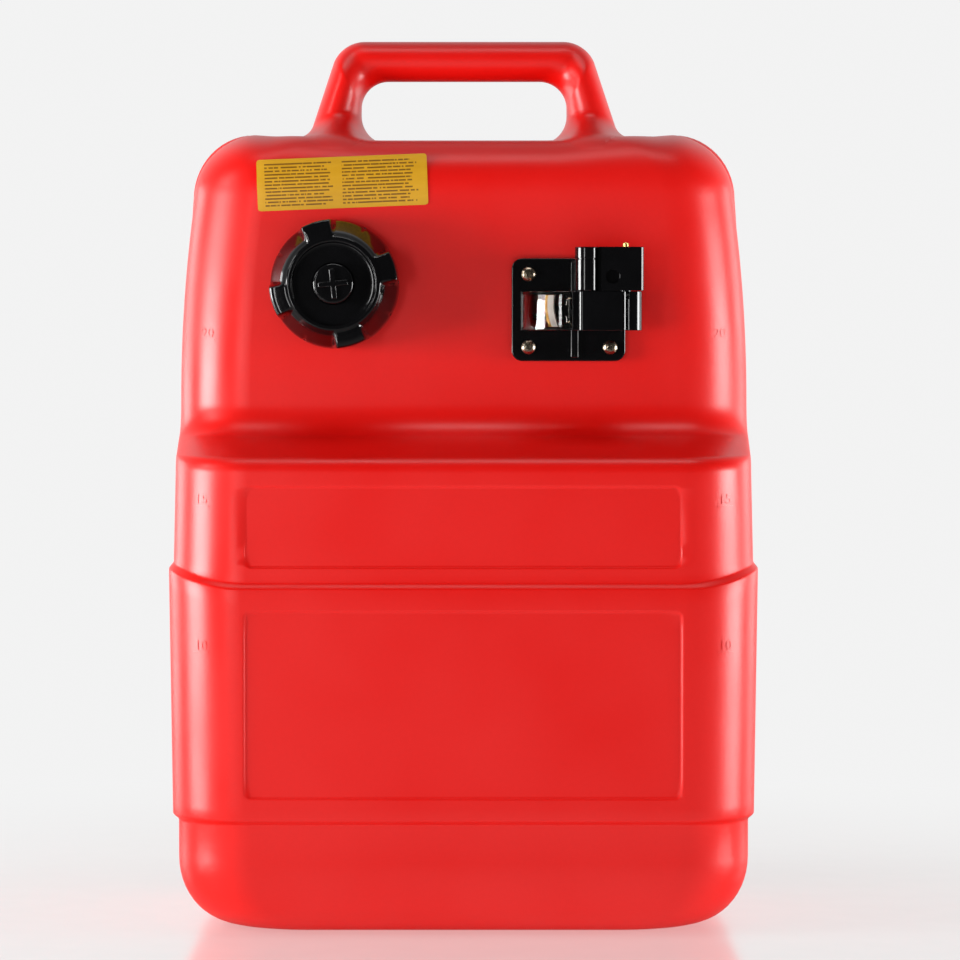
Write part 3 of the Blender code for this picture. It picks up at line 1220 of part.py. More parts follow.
def face_depth(x, z):
    """Where the upper face lies at a place on it, also on its rounded top and corners."""
    start = TANK_TOP_Z - TOP_ROUND_HEIGHT
    share = (min(z, start) - shelf_end_z()) / (start - shelf_end_z())
    half_front, half_back = upper_half_widths(share)
    sine = max(0, z - start) / TOP_ROUND_HEIGHT
    lean = 1 - math.sqrt(1 - sine * sine)
    corner = half_front - TOP_FRONT_ROUND_WIDTH * lean - FRONT_CORNER_RADIUS
    past = max(0, abs(x) - corner)
    round_in = FRONT_CORNER_RADIUS - math.sqrt(FRONT_CORNER_RADIUS ** 2 - past ** 2)
    return DECK_Y + TOP_ROUND_DEPTH * lean + round_in


def make_label():
    """A thin sticker that follows the upper face over its rounded top edge."""
    mesh = bmesh.new()
    bmesh.ops.create_grid(mesh, x_segments=LABEL_COLUMNS, y_segments=LABEL_ROWS, size=HALF_SHARE,
                          matrix=Matrix.Diagonal((LABEL_WIDTH, LABEL_HEIGHT, 1, 1)))
    grown = bmesh.ops.extrude_face_region(mesh, geom=mesh.faces[:])
    lifted = {item for item in grown["geom"] if isinstance(item, bmesh.types.BMVert)}
    turn = Matrix.Rotation(LABEL_TURN, 3, "Z")
    for vert in mesh.verts:
        height = LABEL_GAP + (LABEL_THICKNESS if vert in lifted else 0)
        flat = turn @ Vector((vert.co.x, vert.co.y, 0))
        x = LABEL_X + flat.x
        z = LABEL_Z + flat.y
        y = face_depth(x, z)
        slope_x = (face_depth(x + LABEL_THICKNESS, z) - y) / LABEL_THICKNESS
        slope_z = (face_depth(x, z + LABEL_THICKNESS) - y) / LABEL_THICKNESS
        out = Vector((slope_x, -1, slope_z)).normalized()
        vert.co = Vector((x, y, z)) + out * height
    add_object("label", mesh, parts, yellow_paper)


clear_scene()
parts = new_collection("fuel_tank")
cutters = new_collection("cutters")
red_plastic = new_material("moulded_polyethylene", (0.62, 0.012, 0.008), 0.38)
black_plastic = new_material("black_moulding", (0.012, 0.012, 0.013), 0.22)
black_rubber = new_material("nitrile_rubber", (0.02, 0.02, 0.02), 0.7)
grey_plastic = new_material("natural_tube", (0.5, 0.5, 0.46), 0.5)
white_plastic = new_material("white_flag", (0.8, 0.78, 0.7), 0.4)
clear_plastic = new_material("clear_lens", (0.9, 0.9, 0.9), 0.05)
dark_foam = new_material("float_foam", (0.05, 0.04, 0.035), 0.8)
bright_steel = new_material("plated_steel", (0.6, 0.59, 0.57), 0.25, 1.0)
brass = new_material("brass", (0.6, 0.42, 0.16), 0.3, 1.0)
yellow_paper = new_material("yellow_sticker", (0.75, 0.5, 0.02), 0.45)

neck_frame, gauge_frame = make_tank()
make_cap(neck_frame)
make_vent(neck_frame)
make_flange(gauge_frame)
make_screws(gauge_frame)
make_lens(gauge_frame)
pointer_frame = make_pointer(gauge_frame)
make_float(pointer_frame)
make_pickup(gauge_frame)
make_connector(gauge_frame)
make_label()
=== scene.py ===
"""Portable boat fuel tank standing on its end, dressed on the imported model.

Metres, +Z up, front face towards -Y. Each section makes one piece of the tank, from the moulded
body to the last screw, with its sizes, mesh, material and place together.
"""

import math

import bmesh
import bpy
from mathutils import Matrix, Vector


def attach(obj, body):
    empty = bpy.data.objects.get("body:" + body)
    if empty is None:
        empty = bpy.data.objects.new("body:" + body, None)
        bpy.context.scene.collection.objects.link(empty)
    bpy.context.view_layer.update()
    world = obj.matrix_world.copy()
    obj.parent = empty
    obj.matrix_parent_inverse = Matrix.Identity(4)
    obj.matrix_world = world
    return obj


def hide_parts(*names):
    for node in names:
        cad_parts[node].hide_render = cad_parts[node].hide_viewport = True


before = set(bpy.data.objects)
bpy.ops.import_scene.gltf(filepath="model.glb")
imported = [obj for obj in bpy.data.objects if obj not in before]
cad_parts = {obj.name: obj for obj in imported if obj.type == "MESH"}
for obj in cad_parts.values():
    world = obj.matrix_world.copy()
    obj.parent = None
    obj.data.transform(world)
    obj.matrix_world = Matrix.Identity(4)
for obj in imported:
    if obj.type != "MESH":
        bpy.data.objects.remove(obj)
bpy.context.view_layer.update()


# The room: a camera level with the cap, a softbox and a rim light at each side, a thin strip at the
# front, small panels above, and a pale sheet under the tank that fades into a near-white backdrop.
def linear(colour):
    """Linear RGBA of an sRGB hex value."""
    channels = [int(colour[place:place + 2], 16) / 255 for place in (1, 3, 5)]
    return tuple(c / 12.92 if c <= 0.04045 else ((c + 0.055) / 1.055) ** 2.4 for c in channels) + (1.0,)


def add_node(tree, kind, inputs=None, **settings):
    """Adds a node with its settings, and sets or links its inputs."""
    node = tree.nodes.new(kind)
    for name, value in settings.items():
        setattr(node, name, value)
    for name, value in (inputs or {}).items():
        if isinstance(value, bpy.types.NodeSocket):
            tree.links.new(value, node.inputs[name])
        else:
            node.inputs[name].default_value = value
    return node


scene = bpy.context.scene
scene.view_settings.view_transform = "Standard"
camera_data = bpy.data.cameras.new("photo_camera")
camera_data.lens = 161.1
camera_data.sensor_width = 36.0
camera = bpy.data.objects.new("photo_camera", camera_data)
camera.location = (0.0094, -2.515, 0.347)
camera.rotation_euler = (math.radians(90 - 2.13), 0, 0)
scene.collection.objects.link(camera)
scene.camera = camera

backdrop = bpy.data.worlds.new("pale_backdrop")
scene.world = backdrop
backdrop.use_nodes = True
room = backdrop.node_tree
room.nodes.clear()
rays = add_node(room, "ShaderNodeLightPath")
way = add_node(room, "ShaderNodeTexCoord")
way_parts = add_node(room, "ShaderNodeSeparateXYZ", {"Vector": way.outputs["Generated"]})
far_side = add_node(room, "ShaderNodeMapRange", {
    "Value": way_parts.outputs["Y"], "From Min": -0.10, "From Max": 0.70, "To Min": 0.03, "To Max": 0.85})
low_side = add_node(room, "ShaderNodeMapRange", {
    "Value": way_parts.outputs["Z"], "From Min": 0.10, "From Max": -0.20, "To Min": 0.08, "To Max": 1.12})
seen = add_node(room, "ShaderNodeMath", {0: rays.outputs["Is Glossy Ray"], 1: rays.outputs["Is Transmission Ray"]},
                operation="MAXIMUM")
ambient = add_node(room, "ShaderNodeMix", {
    "Factor": seen.outputs[0], "A": low_side.outputs[0], "B": far_side.outputs[0]})
strength = add_node(room, "ShaderNodeMix", {
    "Factor": rays.outputs["Is Camera Ray"], "A": ambient.outputs["Result"], "B": 0.893})
sky = add_node(room, "ShaderNodeBackground", {"Color": linear("#FFFFFF"), "Strength": strength.outputs["Result"]})
add_node(room, "ShaderNodeOutputWorld", {"Surface": sky.outputs[0]})

for name, place, aim, width, height, power in (
        ("left_softbox", (-1.64, -0.48, 0.18), (0.0, 0.0, 0.18), 0.80, 0.70, 46.0),
        ("right_softbox", (1.70, -0.28, 0.18), (0.0, 0.0, 0.18), 0.80, 0.70, 34.0),
        ("front_strip", (-0.58, -1.48, 0.36), (0.06, -0.08, 0.38), 0.18, 0.50, 2.4),
        ("left_upper", (-1.45, -0.46, 1.10), (-0.08, 0.0, 0.47), 0.50, 0.50, 5.0),
        ("left_rim", (-1.45, 0.95, 0.24), (0.0, 0.0, 0.22), 0.70, 0.9, 9.0),
        ("right_rim", (1.45, 0.95, 0.24), (0.0, 0.0, 0.22), 0.70, 0.9, 6.0),
        ("overhead", (0.0, -0.22, 1.75), (0.0, -0.08, 0.28), 1.10, 0.35, 4.2)):
    lamp = bpy.data.lights.new(name, "AREA")
    lamp.shape = "RECTANGLE"
    lamp.size = width
    lamp.size_y = height
    lamp.energy = power
    holder = bpy.data.objects.new(name, lamp)
    holder.location = place
    holder.rotation_euler = (Vector(place) - Vector(aim)).to_track_quat("Z", "Y").to_euler()
    scene.collection.objects.link(holder)

sheet_mesh = bmesh.new()
bmesh.ops.create_grid(sheet_mesh, x_segments=1, y_segments=1, size=3.0)
sheet_data = bpy.data.meshes.new("floor_sheet")
sheet_mesh.to_mesh(sheet_data)
sheet_mesh.free()
floor_sheet = bpy.data.objects.new("floor_sheet", sheet_data)
scene.collection.objects.link(floor_sheet)
floor_sheet.visible_diffuse = False

floor_finish = bpy.data.materials.new("pale_laminate_sheet")
floor_finish.use_nodes = True
tree = floor_finish.node_tree
tree.nodes.clear()
place = add_node(tree, "ShaderNodeTexCoord")
reach = add_node(tree, "ShaderNodeVectorMath", {0: place.outputs["Object"]}, operation="LENGTH")
fade = add_node(tree, "ShaderNodeMapRange", {
    "Value": reach.outputs["Value"], "From Min": 0.25, "From Max": 0.75}, interpolation_type="SMOOTHSTEP")
flecks = add_node(tree, "ShaderNodeTexNoise", {"Vector": place.outputs["Object"], "Scale": 40.0})
tone = add_node(tree, "ShaderNodeMix", {
    "Factor": flecks.outputs["Fac"], "A": linear("#A8A5A4"), "B": linear("#AFADAC")}, data_type="RGBA")
laminate = add_node(tree, "ShaderNodeBsdfPrincipled", {
    "Base Color": tone.outputs["Result"], "Roughness": 0.17, "Specular IOR Level": 0.5})
glow = add_node(tree, "ShaderNodeEmission", {"Color": linear("#FFFFFF"), "Strength": 0.893})
rays = add_node(tree, "ShaderNodeLightPath")
lift = add_node(tree, "ShaderNodeMath", {0: rays.outputs["Is Camera Ray"], 1: 0.31}, operation="MULTIPLY")
tree.links.new(lift.outputs[0], laminate.inputs["Emission Strength"])
laminate.inputs["Emission Color"].default_value = linear("#FFFFFF")
keep = add_node(tree, "ShaderNodeMath", {0: fade.outputs["Result"], 1: rays.outputs["Is Camera Ray"]},
                operation="MULTIPLY")
blend_out = add_node(tree, "ShaderNodeMixShader", {
    "Fac": keep.outputs[0], 1: laminate.outputs[0], 2: glow.outputs[0]})
add_node(tree, "ShaderNodeOutputMaterial", {"Surface": blend_out.outputs[0]})
sheet_data.materials.append(floor_finish)


# Tank body: one hollow moulding of red polyethylene, blown in a two-part mould, with a stepped foot,
# a band with two sunk panels, a steep shelf and a recessed upper face. The handle is moulded with it.
TOP_Z = 0.4565
FOOT_TOP_Z = 0.0649
BAND_TOP_Z = 0.1980
SHELF_START_Z = 0.2610
BAND_Y = -0.1150
DECK_Y = -0.0530
BACK_Y = 0.1150
PARTING_Y = 0.0310
CORNER = 0.0420
ROUND_START_Z = TOP_Z - 0.0380
UPPER_HALF = 0.1647


def ease(share):
    """An S-curve from 0 to 1."""
    share = min(1, max(0, share))
    return share * share * (3 - 2 * share)


def mix(low, high, share):
    return low + (high - low) * share


def shelf_end():
    """The height at which the shelf has turned into the upper face."""
    turn = math.radians(75)
    straight = (0.0620 - 0.0028 - 0.0300 * (1 - math.cos(turn))) / math.sin(turn)
    return SHELF_START_Z + 0.0300 * math.sin(turn) + straight * math.cos(turn)


def tank_levels(wall, top_wall, steps):
    """Level sections as (z, front y, front half width, back half width, back y, side rise)."""
    levels = []
    back = BACK_Y - wall
    for step in range(steps + 1):
        turn = math.radians(90) * step / steps
        side = (0.0350 - wall) * (1 - math.sin(turn))
        face = (0.0340 - wall) * (1 - math.sin(turn))
        half = 0.1625 - wall - side
        levels.append((0.0420 - (0.0420 - wall) * math.cos(turn), BAND_Y + 0.0037 + wall + face,
                       half, half, back - face, 0))
    count = max(3, steps // 2)
    for middle, below, above, rise in (
            (FOOT_TOP_Z, (BAND_Y + 0.0037, 0.1625), (BAND_Y, 0.1656), 0),
            (BAND_TOP_Z, (BAND_Y, 0.1676), (BAND_Y + 0.0028, 0.1650), 0.0100)):
        shift = math.copysign(wall, above[1] - below[1])
        for step in range(count + 1):
            share = step / count
            half = mix(below[1], above[1], ease(share)) - wall
            levels.append((middle + shift + 0.0045 * (share - 0.5), mix(below[0], above[0], ease(share)) + wall,
                           half, half, back, rise))
    for step in range(steps + 1):
        turn = math.radians(75) * step / steps
        half = 0.1638 - wall
        levels.append((SHELF_START_Z + (0.0100 - wall) * math.sin(turn),
                       BAND_Y + 0.0028 + 0.0100 - (0.0100 - wall) * math.cos(turn), half, half, back, 0))
    for step in range(steps + 1):
        turn = math.radians(75) * (1 - step / steps)
        half = UPPER_HALF - wall
        levels.append((shelf_end() - (0.0200 + wall) * math.sin(turn),
                       DECK_Y - 0.0200 + (0.0200 + wall) * math.cos(turn), half, half, back, 0))
    for step in range(1, steps):
        share = step / steps
        levels.append((mix(shelf_end(), ROUND_START_Z, share), DECK_Y + wall,
                       UPPER_HALF - 0.0084 * share ** 2 - wall, UPPER_HALF - 0.0044 * share ** 2 - wall, back, 0))
    for step in range(steps + 1):
        turn = math.radians(90) * step / steps
        lean = 1 - math.cos(turn)
        face = (0.0280 - wall) * lean
        levels.append((ROUND_START_Z + (0.0380 - top_wall) * math.sin(turn), DECK_Y + wall + face,
                       UPPER_HALF - 0.0084 - wall - (0.0420 - wall) * lean,
                       UPPER_HALF - 0.0044 - wall - (0.0360 - wall) * lean, back - face, 0))
    return levels


def level_at(levels, z):
    """The section at a height, between the two levels nearest it."""
    for below, above in zip(levels, levels[1:]):
        if below[0] <= z <= above[0]:
            share = (z - below[0]) / (above[0] - below[0])
            return tuple(mix(a, b, share) for a, b in zip(below, above))
    return levels[-1]


def half_ring(level, wall, flats, steps, front):
    """Right half of a section's front or back, from the middle to the parting line."""
    z, front_y, half_front, half_back, back_y, rise = level
    half, radius = (half_front, CORNER - wall) if front else (half_back, 0.0400 - wall)
    face, way = (front_y, 1) if front else (back_y, -1)
    points = []
    for share, inset in flats:
        points.append(((half - radius) * share - inset, face, z))
    for step in range(steps + 1):
        turn = math.radians(90) * step / steps
        points.append((half - radius + radius * math.sin(turn), face + way * radius * (1 - math.cos(turn)),
                       z + rise * ease(step / steps)))
    seam = min(half_front, half_back)
    points.append((half, PARTING_Y - way * 0.0050, z + rise))
    points.append((mix(half, seam, 0.5) - 0.0005, PARTING_Y - way * 0.0009, z + rise))
    points.append((seam, PARTING_Y, z + rise))
    return points


def finger_dip(x, z):
    """The top is a little hollow, and lower still between the legs of the handle."""
    hollow = 0.0026 * (1 - ease((abs(x) - 0.1080) / 0.0200)) + 0.0030 * (1 - ease((abs(x) - 0.0455) / 0.0585))
    return hollow * ease((z - TOP_Z + 0.0300) / 0.0300)


def panel_sink(x, z):
    """How deep the two front panels are sunk at a place."""
    depth = 0
    for low, high in ((0.2085, 0.2537), (0.0788, 0.1839)):
        across = abs(x) - 0.1226 + 0.0045
        up = abs(z - (low + high) / 2) - (high - low) / 2 + 0.0045
        outside = math.hypot(max(across, 0), max(up, 0)) + min(max(across, up), 0) - 0.0045
        depth += 0.0010 * ease(0.5 - outside / 0.0018)
    return depth


def close_grid(mesh, rows):
    """A grid moved to rows of places, with its seams welded."""
    made = bmesh.ops.create_grid(mesh, x_segments=len(rows[0]) - 1, y_segments=len(rows) - 1, size=0.5)
    columns, lines = len(rows[0]) - 1, len(rows) - 1
    for vert in made["verts"]:
        column = round((vert.co.x + 0.5) * columns)
        line = round((vert.co.y + 0.5) * lines)
        vert.co = rows[line][column]
    bmesh.ops.remove_doubles(mesh, verts=mesh.verts, dist=0.000005)
    bmesh.ops.dissolve_degenerate(mesh, edges=mesh.edges, dist=0.000001)


def body_rows(levels, wall, flats, steps, cover):
    """Rows of places round the body, closed at both ends by rows that meet in the middle."""
    rings = []
    for level in levels:
        front = half_ring(level, wall, flats, steps, True)
        back = half_ring(level, wall, flats, steps, False)
        chains = []
        for chain in (front, back):
            left = [(-x, y, z) for x, y, z in reversed(chain[1:])]
            chains.append([Vector(place) for place in left + chain])
        rings.append(chains)

    def ring(chains, share):
        front, back = chains
        seam = front[-1].x
        middle = [(a + b) / 2 for a, b in zip(front, back)]
        for place in middle:
            place.x = min(seam, max(-seam, place.x))
        near = [place.lerp(centre, 2 * share) for place, centre in zip(front, middle)]
        far = [place.lerp(centre, 2 * share) for place, centre in zip(back, middle)]
        return near + far[-2::-1]

    shares = [step / cover / 2 for step in range(1, cover + 1)]
    rows = [ring(rings[0], share) for share in reversed(shares)]
    rows += [ring(chains, 0) for chains in rings]
    rows += [ring(rings[-1], share) for share in shares]
    return rows


def new_piece(name, mesh, sharp=32):
    """A piece from a bmesh, shaded smooth but for its sharp edges."""
    data = bpy.data.meshes.new(name)
    mesh.to_mesh(data)
    mesh.free()
    data.shade_smooth()
    data.set_sharp_from_angle(angle=math.radians(sharp))
    piece = bpy.data.objects.new(name, data)
    scene.collection.objects.link(piece)
    return piece


def carved(target, tool, operation, sharp=32):
    """Joins a tool to a piece, or cuts it away, for good."""
    cut = target.modifiers.new("carve", "BOOLEAN")
    cut.operation = operation
    cut.solver = "EXACT"
    cut.object = tool
    bpy.context.view_layer.update()
    data = bpy.data.meshes.new_from_object(target.evaluated_get(bpy.context.evaluated_depsgraph_get()))
    target.modifiers.clear()
    data.name = target.name
    target.data = data
    data.shade_smooth()
    data.set_sharp_from_angle(angle=math.radians(sharp))
    bpy.data.objects.remove(tool)


def face_depth(x, z):
    """Where the upper face lies at a place on it, also on its rounded top and corners."""
    share = (min(z, ROUND_START_Z) - shelf_end()) / (ROUND_START_Z - shelf_end())
    sine = min(1, max(0, z - ROUND_START_Z) / 0.0380)
    lean = 1 - math.sqrt(1 - sine * sine)
    corner = UPPER_HALF - 0.0084 * share ** 2 - 0.0420 * lean - CORNER
    past = min(CORNER, max(0, abs(x) - corner))
    return DECK_Y + 0.0280 * lean + CORNER - math.sqrt(CORNER ** 2 - past ** 2)


def top_height(x, y):
    """Height of the top at a place, also on its rounded front edge."""
    low, high = ROUND_START_Z, TOP_Z
    for _ in range(24):
        middle = (low + high) / 2
        if face_depth(x, middle) < y:
            low = middle
        else:
            high = middle
    return low - finger_dip(x, low)


def handle_rows():
    """Rows of places round the handle, from the left foot over the grip to the right foot."""
    lean = math.atan2(0.0922 - 0.0725, 0.5113 - TOP_Z)
    end = math.radians(90) - lean
    reach = 0.0120 * math.tan(end / 2)
    corner = 0.0200 * math.tan((math.radians(90) - lean) / 2)
    right = []
    for step in range(13):
        share = step / 12
        turn = end * share
        quarter = math.radians(90) * share
        outer = (0.0922 + reach - 0.0120 * math.sin(turn), 0.0120 * (1 - math.cos(turn)))
        inner = (0.0605 - 0.0160 * (1 - math.sin(quarter)), 0.0160 * (1 - math.cos(quarter)))
        flare = 1 - math.sin(quarter)
        rise = 1 - math.cos(quarter)
        row = []
        for place in range(49):
            turn_round = math.radians(360) * (place + 0.5) / 48
            along, across = math.cos(turn_round), math.sin(turn_round)
            spread = 0.0080 + 0.0270 * (flare + (1 - rise) ** 2) if across < 0 else 0.0120 * flare
            extra = 0.0060 if across < 0 else 0
            x = mix(inner[0], outer[0], (1 + along) / 2)
            y = PARTING_Y + (0.0150 + spread) * across
            lift = mix(inner[1], outer[1], (1 + along) / 2) + extra * rise * across ** 2
            row.append(Vector((x, y, top_height(x, y) + lift)))
        right.append(row)
    right[0] = [place - Vector((0, 0, 0.0005)) for place in right[0]]
    right.insert(0, [place - Vector((0, 0, 0.0030)) for place in right[0]])
    for step in range(1, 19):
        share = step / 18
        turn = mix(lean, math.radians(90), share)
        quarter = math.radians(90) * share
        outer = (0.0725 - corner + 0.0200 * math.cos(turn), 0.5113 - 0.0200 * (1 - math.sin(turn)))
        inner = (0.0605 - 0.0160 * (1 - math.cos(quarter)), 0.4877 - 0.0160 * (1 - math.sin(quarter)))
        row = []
        for place in range(49):
            turn_round = math.radians(360) * (place + 0.5) / 48
            along, across = math.cos(turn_round), math.sin(turn_round)
            spread = 0.0080 * (1 - ease(share * 1.5)) if across < 0 else 0
            row.append(Vector((mix(inner[0], outer[0], (1 + along) / 2), PARTING_Y + (0.0150 + spread) * across,
                               mix(inner[1], outer[1], (1 + along) / 2))))
        right.append(row)
    left = [[Vector((-place.x, place.y, place.z)) for place in row] for row in reversed(right)]
    return right + left


levels = tank_levels(0, 0, 14)
heights = [level[0] for level in levels]
for edge in (0.2085, 0.2537, 0.0788, 0.1839):
    heights += [edge + 0.0004 * step for step in range(-3, 4)]
heights += [0.205 + 0.0035 * step for step in range(14)] + [0.073 + 0.006 * step for step in range(20)]
heights = sorted(set(round(z, 6) for z in heights if 0 <= z <= TOP_Z))
flats = [(step / 24 * 0.96, 0) for step in range(24)] + [(1, 0.0045 - 0.0005 * step) for step in range(9)]
rows = body_rows([level_at(levels, z) for z in heights], 0, flats, 14, 12)
for row in rows:
    for place in row:
        if place.y < -0.1:
            place.y += panel_sink(place.x, place.z)
        place.z -= finger_dip(place.x, place.z)
shape = bmesh.new()
close_grid(shape, rows)
bmesh.ops.recalc_face_normals(shape, faces=shape.faces)
tank = new_piece("tank", shape)

shape = bmesh.new()
close_grid(shape, handle_rows())
bmesh.ops.holes_fill(shape, edges=[edge for edge in shape.edges if edge.is_boundary])
bmesh.ops.recalc_face_normals(shape, faces=shape.faces)
carved(tank, new_piece("handle_form", shape), "UNION")

inner_levels = tank_levels(0.0035, 0.0075, 5)
shape = bmesh.new()
close_grid(shape, body_rows(inner_levels, 0.0035, [(0, 0), (0.5, 0)], 5, 1))
bmesh.ops.recalc_face_normals(shape, faces=shape.faces)
carved(tank, new_piece("cavity", shape), "DIFFERENCE")
for x, z, radius in ((-0.0736, 0.3676, 0.0240), (0.0600, 0.3530, 0.0230)):
    shape = bmesh.new()
    bmesh.ops.create_cone(shape, cap_ends=True, segments=72, radius1=radius, radius2=radius, depth=0.03,
                          matrix=Matrix.Translation((x, DECK_Y, z)) @ Matrix.Rotation(math.radians(90), 4, "X"))
    carved(tank, new_piece("opening", shape), "DIFFERENCE")

# Blow-moulded polyethylene, dyed through: satin, faintly wavy where the wall shrank as it cooled,
# with a fine skin from the blasted mould and slight mottling in the dye.
polyethylene = bpy.data.materials.new("blow_moulded_polyethylene")
polyethylene.use_nodes = True
tree = polyethylene.node_tree
shader = tree.nodes["Principled BSDF"]
shader.inputs["Specular IOR Level"].default_value = 0.42
place = add_node(tree, "ShaderNodeTexCoord")
cloud = add_node(tree, "ShaderNodeTexNoise", {"Vector": place.outputs["Object"], "Scale": 14.0, "Detail": 4.0})
speck = add_node(tree, "ShaderNodeTexNoise", {"Vector": place.outputs["Object"], "Scale": 420.0, "Detail": 2.0})
dye = add_node(tree, "ShaderNodeMix", {
    "Factor": cloud.outputs["Fac"], "A": linear("#E20D07"), "B": linear("#EA1009")}, data_type="RGBA")
dust = add_node(tree, "ShaderNodeMapRange", {
    "Value": speck.outputs["Fac"], "From Min": 0.35, "From Max": 0.75, "To Min": 0.0, "To Max": 0.12})
skin = add_node(tree, "ShaderNodeMix", {
    "Factor": dust.outputs["Result"], "A": dye.outputs["Result"], "B": linear("#D30C07")}, data_type="RGBA")
gloss = add_node(tree, "ShaderNodeMapRange", {
    "Value": cloud.outputs["Fac"], "From Min": 0.3, "From Max": 0.7, "To Min": 0.30, "To Max": 0.40})
ripple = add_node(tree, "ShaderNodeTexNoise", {"Vector": place.outputs["Object"], "Scale": 26.0, "Detail": 1.0})
waves = add_node(tree, "ShaderNodeBump", {"Height": ripple.outputs["Fac"], "Strength": 0.35, "Distance": 0.0008})
grain = add_node(tree, "ShaderNodeBump", {
    "Height": speck.outputs["Fac"], "Strength": 0.10, "Distance": 0.0002, "Normal": waves.outputs["Normal"]})
tree.links.new(skin.outputs["Result"], shader.inputs["Base Color"])
tree.links.new(gloss.outputs["Result"], shader.inputs["Roughness"])
tree.links.new(grain.outputs["Normal"], shader.inputs["Normal"])
tank.data.materials.clear()
tank.data.materials.append(polyethylene)
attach(tank, "tank")
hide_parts("tank_shell")


# Filler neck: moulded with the tank, a short tube with two turns of coarse thread for the cap,
# blended into the upper face by a small fillet.
neck_place = Matrix.Translation((-0.0736, DECK_Y, 0.3676)) @ Matrix.Rotation(math.radians(90), 4, "X")


def turned(mesh, profile, steps, closed=True):
    """Turns a profile of (radius, height) places about the z axis."""
    verts = [mesh.verts.new((radius, 0, height)) for radius, height in profile]
    edges = [mesh.edges.new(pair) for pair in zip(verts, verts[1:])]
    if closed:
        edges.append(mesh.edges.new((verts[-1], verts[0])))
    bmesh.ops.spin(mesh, geom=verts + edges, cent=(0, 0, 0), axis=(0, 0, 1), angle=math.radians(360),
                   steps=steps, use_merge=True)
    bmesh.ops.remove_doubles(mesh, verts=mesh.verts, dist=0.000005)
    bmesh.ops.recalc_face_normals(mesh, faces=mesh.faces)


def thread(mesh, root, crest, start, turns):
    """A ridge of trapezium section wound up about the z axis, 6 mm to a turn."""
    verts = [mesh.verts.new((radius, 0, start + lift)) for radius, lift in
             ((root, -0.0015), (crest, -0.0006), (crest, 0.0006), (root, 0.0015))]
    edges = [mesh.edges.new((verts[i], verts[(i + 1) % 4])) for i in range(4)]
    steps = round(turns * 60)
    bmesh.ops.spin(mesh, geom=verts + edges, cent=(0, 0, 0), axis=(0, 0, 1), dvec=(0, 0, 0.0060 * turns / steps),
                   angle=math.radians(360) * turns, steps=steps, use_merge=False)
    ends = [edge for edge in mesh.edges if edge.is_boundary]
    bmesh.ops.holes_fill(mesh, edges=ends)
    bmesh.ops.recalc_face_normals(mesh, faces=mesh.faces)


shape = bmesh.new()
turned(shape, [(0.0240, -0.0030), (0.0315, -0.0030), (0.0315, 0.0002), (0.0302, 0.0006), (0.0294, 0.0015),
               (0.0290, 0.0030), (0.0290, 0.0202), (0.0287, 0.0208), (0.0282, 0.0210), (0.0247, 0.0210),
               (0.0242, 0.0208), (0.0240, 0.0203)], 96)
ridge = bmesh.new()
thread(ridge, 0.0285, 0.0311, 0.0060, 2)
ridge_data = bpy.data.meshes.new("thread")
ridge.to_mesh(ridge_data)
ridge.free()
shape.from_mesh(ridge_data)
bpy.data.meshes.remove(ridge_data)
bmesh.ops.transform(shape, matrix=neck_place, verts=shape.verts)
neck = new_piece("filler_neck", shape)
neck.data.materials.append(polyethylene)
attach(neck, "tank")


# Litre marks: short raised lines with plain figures on both front corners, cut into the blow mould, so
# that they are part of the tank's own polyethylene.
MARKS = ((0.1606, "10"), (0.2425, "15"), (0.3357, "20"), (0.3650, ""))


def corner_depth(x, z):
    """Where the front of the tank lies at a place, also on its upright corners."""
    level = level_at(levels, z)
    past = min(CORNER - 0.0001, max(0, abs(x) - level[2] + CORNER))
    return level[1] + CORNER - math.sqrt(CORNER ** 2 - past ** 2)


marks = bmesh.new()
for side in (-1, 1):
    for height, figure in MARKS:
        shape = bmesh.new()
        bmesh.ops.create_grid(shape, x_segments=12, y_segments=1, size=0.5,
                              matrix=Matrix.Translation((side * 0.1475, height, 0)) @ Matrix.Diagonal(
                                  (0.0090, 0.0008, 1, 1)))
        bar_data = bpy.data.meshes.new("mark_bar")
        shape.to_mesh(bar_data)
        shape.free()
        marks.from_mesh(bar_data)
        bpy.data.meshes.remove(bar_data)
        if figure:
            words = bpy.data.curves.new("mark_figure", "FONT")
            words.body = figure
            words.size = 0.0075
            words.align_x = "CENTER"
            holder = bpy.data.objects.new("mark_figure", words)
            scene.collection.objects.link(holder)
            bpy.context.view_layer.update()
            data = bpy.data.meshes.new_from_object(holder.evaluated_get(bpy.context.evaluated_depsgraph_get()))
            data.transform(Matrix.Translation((side * 0.1475, height + 0.0016, 0)))
            marks.from_mesh(data)
            bpy.data.meshes.remove(data)
            bpy.data.objects.remove(holder)
bmesh.ops.remove_doubles(marks, verts=marks.verts, dist=0.00001)
grown = bmesh.ops.extrude_face_region(marks, geom=marks.faces[:])
raised = {item for item in grown["geom"] if isinstance(item, bmesh.types.BMVert)}
for vert in marks.verts:
    x, z = vert.co.x, vert.co.y
    vert.co = (x, corner_depth(x, z) + (-0.0004 if vert in raised else 0.0004), z)
bmesh.ops.recalc_face_normals(marks, faces=marks.faces)
litre_marks = new_piece("litre_marks", marks)
litre_marks.data.materials.append(polyethylene)
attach(litre_marks, "tank")


# Label: yellow printed film stuck on the upper face, with two columns of plain ruled lines.
# It follows the rounded top edge of the face.
LABEL_SIZE = (0.0975, 0.0293)
label_turn = Matrix.Rotation(math.radians(2.3), 3, "Z")


